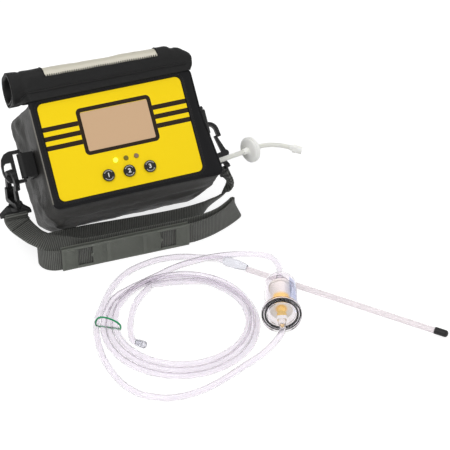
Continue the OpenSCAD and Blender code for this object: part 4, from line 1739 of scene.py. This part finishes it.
@dataclass
class ShoulderStrap:
    """The webbing strap with its folded ends and its moulded pad; sizes are in mm.

    Attributes:
        web, rubber: Its finishes.
        width, thickness: The webbing's size.
        pad: The pad's length and height.
        pad_place: The middle of the pad on the floor, and how many degrees it is turned.
        slots: Where along the pad the webbing goes through it.
        slot: Half the length of such an opening.
        rim: How far the openings and ribs stay from the pad's edges.
        cells: The number of cells along and up a plate.
        ribs: The number of ribs one above the other.
        route: The webbing's middle from the left eye on, with the direction of its width where that isn't upright.
    """

    web: Material
    rubber: Material
    width: float = 25.0
    thickness: float = 1.9
    pad: Flat = (137.0, 27.0)
    pad_place: Point = (-11.5, -84.5, -2.4)
    slots: Flat = (25.0, 114.0)
    slot: float = 8.3
    rim: float = 3.2
    cells: tuple[int, int] = (170, 44)
    ribs: int = 14
    route: tuple[tuple[float, ...], ...] = (
        (-111.75, -32.6, 46.1, 1, 0, 0), (-111.75, -32.6, 43.5, 1, 0, 0), (-111.75, -32.6, 41, 1, 0, 0),
        (-110.8, -35, 38.4, 1, 0, 0), (-109, -39.5, 36, 1, 0.1, 0), (-104.5, -47.5, 32.8, 0.9, 0.4, 0),
        (-99, -56, 30, 0.8, 0.6, 0), (-91, -63, 27, 0.6, 0.8, 0.1), (-82, -67, 22, 0.2, 0.8, 0.5),
        (-71, -69.5, 17.3, 0, 0.5, 0.9), (-58, -71, 14, 0, 0.15, 1), (-40, -72, 13), (0, -74.5, 13), (40, -77, 13),
        (75, -77, 13), (96, -72.5, 13, -0.1, 0, 1), (112, -64.5, 12.8, -0.3, 0, 1),
        (118.5, -60.5, 12.6, -0.42, 0, 1), (121, -61.5, 12.6, -0.45, 0, 1), (120, -64, 12.6, -0.42, 0, 1),
        (113, -69.5, 12.8, -0.3, 0, 1), (100, -77.5, 13, -0.1, 0, 1), (82, -84.5, 13), (65, -87.5, 13),
        (58, -87.4, 13), (40, -86.7, 13), (0, -85, 13), (-30, -83.7, 13), (-60, -82.5, 13), (-74, -81.9, 13),
        (-81, -81.6, 13), (-88, -80, 13), (-94, -76, 13), (-98, -69.5, 13), (-98.5, -62, 13), (-95, -55, 13),
        (-88, -50, 13), (-76, -48.5, 13), (-40, -50, 13), (0, -54, 13), (40, -57.5, 13), (68, -57, 13.2, 0, -0.1, 1),
        (84, -53.5, 14.2, 0, -0.3, 0.95), (95, -49.5, 16.7, -0.15, -0.6, 0.8), (104, -47.5, 19, -0.3, -0.7, 0.65),
        (111, -47, 22.5, -0.3, -0.72, 0.64), (115, -47.5, 28, -0.28, -0.73, 0.64),
        (117, -49.5, 35.5, -0.25, -0.73, 0.64), (117, -51.4, 42, -0.15, -0.74, 0.66),
        (114.7, -50, 48.3, 0, -0.743, 0.669), (114.3, -48, 50.5, 0, -0.743, 0.669),
        (113.9, -46, 52.7, 0, -0.743, 0.669))

    def build(self) -> None:
        """Builds the webbing, its folded ends and the pad."""
        spots = [ROW @ Vector(spot[:3]) for spot in self.route]
        widths = [Vector(spot[3:] or (0, 0, 1)).normalized() for spot in self.route]
        path = smooth_path(spots, 4)
        turned = [w.normalized() for w in smooth_path(widths, 4)]
        strap = sweep("strap_web", path, flat_profile(self.width, self.thickness), self.web, turned)
        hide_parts("strap_webbing")
        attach(strap, "case")
        self._fold_back("strap_end_left", path, turned, 17)
        self._fold_back("strap_end_right", path[::-1], turned[::-1], 19)
        self._pad()
        LOG.info("strap: %.0f mm of webbing shown", length_of(path) / MM)

    def _fold_back(self, name: str, path: list[Vector], turned: list[Vector], count: int) -> None:
        """Builds the end of the webbing that comes back from the eye's bar.

        Args:
            name: The piece's name.
            path: The webbing's path from the eye on.
            turned: The direction across it.
            count: How many of the path's points the end lies on.
        """
        ahead = [heading(path, i) for i in range(count)]
        out = [ahead[i].cross(turned[i]).normalized() for i in range(count)]
        loop = []
        for k in range(9):
            a = math.pi * k / 8
            loop.append(path[0] - ahead[0] * (2.6 * math.sin(a) * MM) + out[0] * (2.25 * (1 - math.cos(a)) * MM))
        back = [path[i] + out[i] * (2.1 + 1.2 * max(0, 2 - i)) * MM for i in range(1, count)]
        across = [turned[0]] * len(loop) + turned[1:count]
        end = sweep(name, loop + back, flat_profile(self.width - 0.4, self.thickness - 0.1), self.web, across)
        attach(end, "case")

    def _pad(self) -> None:
        """Builds the two plates of the pad, with their ribs."""
        x, y, turn = self.pad_place
        place = ROW @ Matrix.Translation((x, y, 0)) @ Matrix.Rotation(math.radians(turn), 4, "Z")
        for part in PadPart:
            name = f"pad_{part.name.lower()}"
            plate = self._plate(name, part, place)
            if part is PadPart.FRONT:
                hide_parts("shoulder_pad")
            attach(plate, "case")
            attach(self._ribs(f"{name}_ribs", part, place), "case")

    def _open(self, x: float, z: float) -> bool:
        """Whether the pad is open for the webbing at a spot, from its lower left corner.

        Args:
            x, z: The spot.

        Returns:
            True inside an opening.
        """
        height = self.pad[1]
        if not self.rim < z < height - self.rim:
            return False
        tongue = max(0.0, 3.0 - abs(z - height / 2) * 0.9)
        left, right = self.slots
        return (left - self.slot < x < left + self.slot - tongue
                or right - self.slot + tongue < x < right + self.slot)

    def _plate(self, name: str, part: PadPart, place: Matrix) -> Object:
        """Builds one plate of the pad.

        Args:
            name: The piece's name.
            part: Which plate.
            place: Where the pad stands.

        Returns:
            The plate.
        """
        near, far = part.value
        length, height = self.pad
        nx, nz = self.cells
        inset = 0.3
        points = []
        for j in range(nz + 1):
            for i in range(nx + 1):
                x = min(max(length * i / nx, inset), length - inset)
                z = min(max(height * j / nz, inset), height - inset)
                y = (near + far) / 2 + 0.15 * noise.noise(Vector((x, 0, z)) / 20)
                points.append(place @ Vector((x - length / 2, y, z)))
        faces = grid_faces(nx + 1, nz + 1, lambda i, j: self._open(length * (i + 0.5) / nx, height * (j + 0.5) / nz))
        plate = drop_loose(piece(name, points, faces, self.rubber))
        return thicken(plate, far - near - 0.5, bevel=0.3)

    def _ribs(self, name: str, part: PadPart, place: Matrix) -> Object:
        """Grows the pad's ribs.

        Args:
            name: The piece's name.
            part: The plate they stand on.
            place: Where the pad stands.

        Returns:
            The ribs.
        """
        length, height = self.pad
        left, right = self.slots
        near, far = part.value
        face = near + 0.3 if part is PadPart.FRONT else far - 0.3
        gap = self.slot + 0.9
        strips = [(2.6, left - gap), (left + gap, 47.5), (51.5, 86.5), (90.5, right - gap),
                  (right + gap, length - 2.6)]
        low = 2.9
        mesh = bpy.data.meshes.new(name)
        mesh.from_pydata([((a + b) / 2 - length / 2, face, low) for a, b in strips], [], [])
        reach = mesh.attributes.new("reach", "FLOAT", "POINT")
        reach.data.foreach_set("value", [b - a for a, b in strips])
        obj = linked(name, mesh)
        tree = GrowthTree(name, {"Count": "NodeSocketInt", "Pitch": "NodeSocketFloat", "Radius": "NodeSocketFloat"})
        step = tree.node("ShaderNodeCombineXYZ", {"Z": tree.given["Pitch"]})
        line = tree.node("GeometryNodeMeshLine", {"Count": tree.given["Count"], "Offset": step.outputs[0]},
                         mode="OFFSET")
        bar = tree.node("GeometryNodeMeshCylinder", {"Vertices": 6, "Radius": tree.given["Radius"], "Depth": 1.0})
        turned = tree.node("GeometryNodeTransform", {
            "Geometry": bar.outputs["Mesh"], "Rotation": (0.0, math.pi / 2, 0.0)})
        column = tree.node("GeometryNodeInstanceOnPoints", {
            "Points": line.outputs["Mesh"], "Instance": turned.outputs[0]})
        size = tree.node("GeometryNodeInputNamedAttribute", {"Name": reach.name}, data_type="FLOAT")
        scale = tree.node("ShaderNodeCombineXYZ", {"X": size.outputs[0], "Y": 1.0, "Z": 1.0})
        columns = tree.node("GeometryNodeInstanceOnPoints", {
            "Points": tree.given["Geometry"], "Instance": column.outputs[0], "Scale": scale.outputs[0]})
        tree.end(columns.outputs[0], self.rubber)
        tree.grow(obj, {"Count": self.ribs, "Pitch": (height - 2 * low) / (self.ribs - 1), "Radius": 0.5})
        obj.data.transform(place)
        return obj


@dataclass
class SamplingLine:
    """The two clear tubes of the sampling line, with the tie around the coil; sizes are in mm.

    Attributes:
        tube, tie: Its finishes.
        diameter, bore: The size of both tubes.
        lying: How high the middle of a tube lies that rests on the floor.
        tie_place: The middle of the tie, and how many degrees it is turned.
        tie_lift: How far the tie is above its own drawing.
        tie_radius: The tie's radius.
        tie_loop: The tie's way around the tubes, seen along them.
        outer, inner: The coil's largest and smallest circle, each as its middle and its radius.
        middle: The spot that the coil is wound around.
        winding: How far out the coil is between the two circles, and how high, four times a turn.
        lead, tail: The long tube's way before and after the coil; a spot of two numbers lies on the floor.
        probe: The short tube's way, from the probe's connector on.
    """

    tube: Material
    tie: Material
    diameter: float = 6.4
    bore: float = 4.7
    lying: float = 3.3
    tie_place: Point = (-65.6, -187.8, -34.0)
    tie_lift: float = 0.08
    tie_radius: float = 0.88
    tie_loop: tuple[Flat, ...] = (
        (-12.0, 1.0), (-12.7, 3.6), (-12.0, 7.6), (-9.6, 11.2), (-5.4, 13.0), (0.0, 12.8), (5.0, 11.3), (9.6, 8.8),
        (12.0, 6.4), (12.6, 3.6), (12.0, 1.0), (10.6, 0.9), (0.0, 0.9), (-10.6, 0.9))
    outer: Point = (0.5, -212.5, 78.0)
    inner: Point = (4.0, -207.0, 62.0)
    middle: Flat = (2.0, -210.0)
    winding: tuple[Flat, ...] = (
        (1.15, 8.6), (1.0, 4.2), (1.0, 3.3), (1.0, 3.3), (1.0, 3.3), (0.5, 3.3), (0.5, 3.3), (0.45, 8.7),
        (0.15, 8.8), (0.0, 4.0), (0.0, 3.3), (0.0, 3.3), (-0.3, 3.3))
    lead: tuple[Point, ...] = (
        (112.7, -196.6, 16.1), (115.7, -189.2, 15.6), (119.3, -181, 15.5), (120.6, -171, 15.5), (118.5, -161, 15.5),
        (112, -153.2, 15), (98, -144.8, 14.5), (85, -139.6, 14), (72, -135.4, 13), (58, -132.7, 12),
        (46, -131.6, 11), (34, -131.5, 10.2), (20, -133, 9.4), (6, -136.5, 8.6))
    tail: tuple[Flat | Point, ...] = (
        (-2, -143), (-10, -147.5), (-20, -155.5), (-30, -166), (-38.5, -180), (-45, -194), (-49, -207),
        (-50.4, -216, 3.6), (-49.72, -221.75, 4.61), (-48.51, -225.46, 6.18))
    probe: tuple[Flat | Point, ...] = (
        (77.95, -134.94, 5), (75.4, -131.87, 5), (72.9, -128.8, 4.8), (67, -124.5, 4), (56, -118), (40, -110.5),
        (24, -106.8), (8, -106.6), (-15, -112), (-33, -123.2), (-48, -138.4), (-60.5, -156.2), (-72.3, -174),
        (-80, -195.4), (-83.5, -215.2), (-85, -233), (-83.7, -253), (-79.5, -273), (-70.5, -290.6), (-60, -299.5),
        (-49.5, -305.6), (-37.5, -308.8), (-24.5, -309.5), (-10.5, -308), (4.5, -304), (20, -298.2),
        (36.4, -291.6, 3.7), (46, -289, 4.8), (57, -286.6, 8), (66.5, -283.6, 12), (74, -281, 16.5),
        (78.8, -278.2, 19.8), (81.3, -274.4, 21.3), (82.8, -270.7, 21.05))

    def build(self, nodes: dict[str, Object]) -> None:
        """Args:
            nodes: The CAD pieces by name; not used.
        """
        long_route = self._route(self.lead) + self._coil() + self._route(self.tail)
        self._tube("sample_tube", long_route, ("filter_line", "line_coil"))
        short_route = self._route(self.probe)[::-1]
        self._tube("probe_tube", short_route, ("probe_line",))
        x, y, turn = self.tie_place
        place = ROW @ Matrix.Translation((x, y, self.tie_lift)) @ Matrix.Rotation(math.radians(turn), 4, "Z")
        path = smooth_path([place @ Vector((a, 0, b)) for a, b in self.tie_loop + self.tie_loop[:1]], 4)
        made = sweep("wire_tie", path, round_profile(self.tie_radius, 10), self.tie)
        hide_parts("coil_tie")
        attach(made, "case")

    def _route(self, spots: Sequence[Flat | Point]) -> list[Vector]:
        """A way in mm, on which a spot of two numbers lies on the floor."""
        return [Vector((*spot, self.lying)[:3]) for spot in spots]

    def _reach(self, circle: Point, way: Vector) -> float:
        """How far from the coil's middle a circle is in one direction, in mm.

        Args:
            circle: The circle's middle and radius.
            way: The direction.

        Returns:
            The distance.
        """
        gap = Vector((circle[0] - self.middle[0], circle[1] - self.middle[1]))
        along = gap.dot(way)
        return along + math.sqrt(circle[2] ** 2 - gap.length_squared + along ** 2)

    def _coil(self) -> list[Vector]:
        """The turns of the coil, from the lead to the loose end, in mm.

        Returns:
            The turns' middle line.
        """
        turns = (len(self.winding) - 1) / 4
        fine = smooth_path([Vector((far, high, 0)) for far, high in self.winding], 5)
        spots = []
        for k in range(2, len(fine) - 2):
            angle = math.pi / 2 + 2 * math.pi * turns * k / (len(fine) - 1)
            way = Vector((math.cos(angle), math.sin(angle)))
            low = self._reach(self.inner, way) + self.diameter / 2
            high = self._reach(self.outer, way) - self.diameter / 2
            radius = low + (high - low) * fine[k].x
            spots.append(Vector((self.middle[0] + way.x * radius, self.middle[1] + way.y * radius, fine[k].y)))
        return spots

    def _tube(self, name: str, route: list[Vector], replaced: tuple[str, ...]) -> None:
        """Builds one tube.

        Args:
            name: The piece's name.
            route: Its route in mm.
            replaced: The CAD pieces that it stands for.
        """
        low = self.diameter / 2 + 0.05
        path = [ROW @ Vector((spot.x, spot.y, max(spot.z, low))) for spot in smooth_path(route, 3)]
        made = sweep(name, path, round_profile(self.diameter / 2, 16), self.tube, None,
                     round_profile(self.bore / 2, 16))
        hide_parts(*replaced)
        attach(made, "case")
        length_of(path)
        self.diameter * MM
        LOG.info("%s: %.0f mm", name, length_of(path) / MM)


@dataclass
class Studio:
    """Camera, floor and soft light; places are in metres.

    Attributes:
        place, view: Where the camera is and where it looks.
        lens, sensor: Its focal length and the width of its sensor, in mm.
        lamps: Each lamp's name, place, size and power.
        target: The spot that the lamps are turned to.
        sky: The sky's strength as a light, and how much brighter it is where it is seen.
        floor_glow, floor_albedo: The light that the floor gives, and how much of the lamps' light it gives back.
    """

    place: Point = (-0.420125, -1.264395, 0.9406)
    view: Point = (0.3036, 0.7499, -0.5878)
    lens: float = 119.8
    sensor: float = 36.0
    lamps: tuple[tuple[str, Point, float, float], ...] = (
        ("key", (-0.9, -0.9, 1.5), 1.1, 13.5), ("fill", (1.3, -0.8, 1.1), 1.2, 5.4),
        ("top", (0.1, 0.5, 1.6), 1.0, 5.5))
    target: Point = (0.0, -0.1, 0.05)
    sky: Flat = (0.43, 0.57)
    floor_glow: float = 0.8
    floor_albedo: float = 0.36

    def build_camera(self) -> None:
        """Sets up the camera."""
        camera = bpy.data.cameras.new("camera")
        camera.lens, camera.sensor_width, camera.clip_start = self.lens, self.sensor, 0.05
        bpy.context.scene.camera = self._aim(linked("camera", camera), self.place, self.view)

    def build_light(self) -> None:
        """Sets up the world, the lamps and the floor."""
        scene = bpy.context.scene
        scene.view_settings.view_transform = "Standard"
        world = bpy.data.worlds.new("studio")
        world.use_nodes = True
        tree = NodeTree(world.node_tree)
        world.node_tree.nodes.clear()
        path = tree.node("ShaderNodeLightPath")
        rays = {0: path.outputs["Is Camera Ray"], 1: path.outputs["Is Transmission Ray"]}
        seen = tree.node("ShaderNodeMath", rays, operation="MAXIMUM")
        strength = tree.node("ShaderNodeMath", {0: seen.outputs[0], 1: self.sky[1], 2: self.sky[0]},
                             operation="MULTIPLY_ADD")
        sky = tree.node("ShaderNodeBackground", {"Color": WHITE, "Strength": strength.outputs[0]})
        tree.node("ShaderNodeOutputWorld", {"Surface": sky.outputs[0]})
        scene.world = world
        for name, spot, size, power in self.lamps:
            lamp = bpy.data.lights.new(name, "AREA")
            lamp.size, lamp.energy = size, power
            self._aim(linked(name, lamp), spot, Vector(self.target) - Vector(spot))
        floor = piece("floor", [Vector((x, y, 0)) for x, y in ((-6, -6), (6, -6), (6, 6), (-6, 6))], [[0, 1, 2, 3]],
                      self._floor_finish())
        floor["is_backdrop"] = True

    def _aim(self, obj: Object, place: Point, way: Sequence[float]) -> Object:
        """Puts a lamp or the camera in its place and turns it one way.

        Args:
            obj: The lamp or camera.
            place: Its place.
            way: Where it looks.

        Returns:
            The same object.
        """
        obj.location = place
        obj.rotation_euler = Vector(way).to_track_quat("-Z", "Y").to_euler()
        return obj

    def _floor_finish(self) -> Material:
        """The floor: white where it is seen, with the shadow kept.

        Returns:
            The finish.
        """
        graph = ShaderGraph("floor_white")
        path = graph.node("ShaderNodeLightPath")
        seen = graph.sock(path, "Is Camera Ray").max(graph.sock(path, "Is Transmission Ray")).max(
            graph.sock(path, "Is Glossy Ray"))
        glow = graph.node("ShaderNodeEmission", {"Color": WHITE, "Strength": self.floor_glow})
        pale = graph.node("ShaderNodeBsdfDiffuse", {"Color": (self.floor_albedo,) * 3 + (1.0,)})
        both = graph.node("ShaderNodeAddShader", {0: glow.outputs[0], 1: pale.outputs[0]})
        plain = graph.node("ShaderNodeBsdfDiffuse", {"Color": (0.8, 0.8, 0.8, 1.0)})
        either = graph.node("ShaderNodeMixShader", {0: seen, 1: plain.outputs[0], 2: both.outputs[0]})
        graph.node("ShaderNodeOutputMaterial", {"Surface": either.outputs[0]})
        return graph.material


# ------------ The whole object ------------

FINISHES = {
    "vinyl": Moulded("frame_vinyl_black", tint(20, 20, 22), 0.5, 30, 0.18, 0.9, 0.07, sheen=0.22),
    # A pale finish for the thin strip that paints a highlight along the case's left edge.
    "cord": Moulded("painted_highlight_cord", tint(118, 115, 108), 0.5, 6, 0.2, 0.8, 0.08),
    "thread": Moulded("dark_thread", tint(30, 30, 30), 0.7, 5, 0.2, 0.4, 0.05),
    "film": Moulded("window_film_cream", tint(204, 199, 182), 0.28, 26, 0.1, 4.0, 0.06, coat=0.4),
    "tab": Moulded("tab_web", tint(34, 34, 34), 0.65, 3, 0.3, 1.0, 0.25),
    "shell": Moulded("housing_shell", tint(40, 40, 42), 0.5),
    "gasket": Moulded("gasket_rubber", tint(64, 64, 66), 0.8),
    "steel": Moulded("screw_steel", tint(190, 190, 194), 0.3, 6, 0.05, 0.3, 0.01, metallic=1.0),
    "display": Moulded("display_glass", tint(211, 175, 137), 0.4, 60, 0.015, 3.0, 0.004, coat=0.2),
    "circuit": Moulded("circuit_green", tint(30, 96, 56), 0.45, 9, 0.15, 0.8, 0.05),
    "key": Moulded("key_black", tint(26, 24, 24), 0.4, 6, 0.1, 0.4, 0.02),
    "mark": Moulded("key_mark_white", tint(226, 224, 220), 0.5),
    "holder": Moulded("holder_black", tint(34, 34, 34), 0.5),
    "cell": Moulded("cell_wrap", tint(186, 150, 70), 0.35, 12, 0.12),
    "block": Moulded("sensor_white", tint(220, 220, 214), 0.5),
    "sensor": Moulded("sensor_grey", tint(96, 100, 110), 0.35, 8, 0.1, metallic=0.4),
    "pump": Moulded("pump_black", tint(46, 46, 48), 0.5),
    "motor": Moulded("motor_steel", tint(176, 178, 182), 0.32, 8, 0.06, 0.4, 0.01, metallic=0.9),
    "milky": Moulded("milky_plastic", tint(253, 253, 248), 0.34, 14, 0.02, 0.8, 0.02, skin=0.25, coat=0.15),
    "milky_tube": Moulded("milky_tube", tint(247, 247, 240), 0.3, 10, 0.04, 1.0, 0.02, through=0.25, skin=0.2),
    "hook": Moulded("hook_black", tint(24, 24, 25), 0.36, 10, 0.15, 0.7, 0.03),
    "pad": Moulded("pad_rubber", tint(108, 111, 104), 0.7, 10, 0.12, 0.5, 0.05),
    "tube": Moulded("clear_vinyl", tint(250, 247, 251), 0.12, 30, 0.01, 5.0, 0.002, through=0.95, bend=1.23),
    "clear": Moulded("clear_cap", tint(252, 251, 252), 0.04, 12, 0.02, 3.0, 0.004, through=0.98, bend=1.13),
    "fitting": Moulded("clear_fitting", tint(240, 240, 246), 0.12, 6, 0.03, 1.5, 0.03, through=0.8, bend=1.35),
    "rod": Moulded("rod_clear", tint(243, 236, 239), 0.14, 14, 0.03, 3.0, 0.02, through=0.7, bend=1.35),
    "seal": Moulded("seal_black", tint(3, 4, 6), 0.5, sheen=0.12),
    "tie": Moulded("tie_green", tint(0, 150, 92), 0.45, 5, 0.1, 0.8, 0.04),
    "tip": Moulded("tip_black", tint(20, 20, 22), 0.5),
}

NODES_OF_FINISH = {
    "thread": ("flap_hem",), "tab": ("left_side_tab", "right_side_tab"), "shell": ("front_housing", "rear_housing"),
    "gasket": ("housing_gasket",), "steel": ("housing_screws", "pump_shaft"), "display": ("display_window",),
    "circuit": ("lcd_module", "main_board"), "key": ("left_key", "middle_key", "right_key"),
    "holder": ("key_switches", "battery_holder"), "cell": ("battery_cells",), "block": ("sensor_block",),
    "sensor": ("sensor_cell",), "pump": ("pump_head",), "motor": ("pump_motor",),
    "milky": ("inlet_port", "disc_filter_inlet_half", "disc_filter_outlet_half", "luer_fitting", "luer_collar"),
    "milky_tube": ("internal_tube", "inlet_tube", "tail_tube"), "seal": ("filter_o_ring",), "rod": ("probe_rod",),
    "hook": ("left_ring", "left_hook", "left_gate", "left_eye", "right_ring", "right_hook", "right_gate", "right_eye"),
    "clear": ("filter_cap",), "fitting": ("line_end_fitting", "probe_connector"), "tip": ("probe_tip",),
}


def main() -> tuple[Vector, Vector]:
    """Builds the whole object and its studio.

    Returns:
        The CAD model's box, from before anything was built.
    """
    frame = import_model()
    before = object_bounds()
    nodes: dict[str, Object] = frame["nodes"]
    studio = Studio()
    studio.build_camera()
    made = {name: finish.make() for name, finish in FINISHES.items()}
    cloth = CaseCloth().make()
    sewing = Sewing(made["thread"])
    SamplingLine(made["tube"], made["tie"]).build(nodes)
    CarryingCase(cloth, made["vinyl"], made["cord"], sewing).build()
    roll = CaseCloth("flap_cloth", tint(27, 27, 27), 1.1, 0.22).make()
    CoverFlap(roll, made["film"], sewing).build()
    ShoulderStrap(Webbing("strap_web", tint(100, 101, 97)).make(), made["pad"]).build()
    finishes = {node: made[name] for name, held in NODES_OF_FINISH.items() for node in held}
    finishes |= {"face_overlay": FacePrint().make(), "status_leds": LampLenses().make(),
                 "filter_element": FilterMedia().make(), "filter_bowl": ClearBowl().make()}
    instrument = Instrument(finishes, made["mark"])
    instrument.dress(nodes)
    instrument.build()
    studio.build_light()
    for part in bpy.context.scene.objects:
        if part.type == "MESH":
            LOG.info("%s: %d points", part.name, len(part.data.vertices))
    return before


if __name__ == "__main__":
    logging.basicConfig(level=logging.INFO, format="%(message)s")
    main()
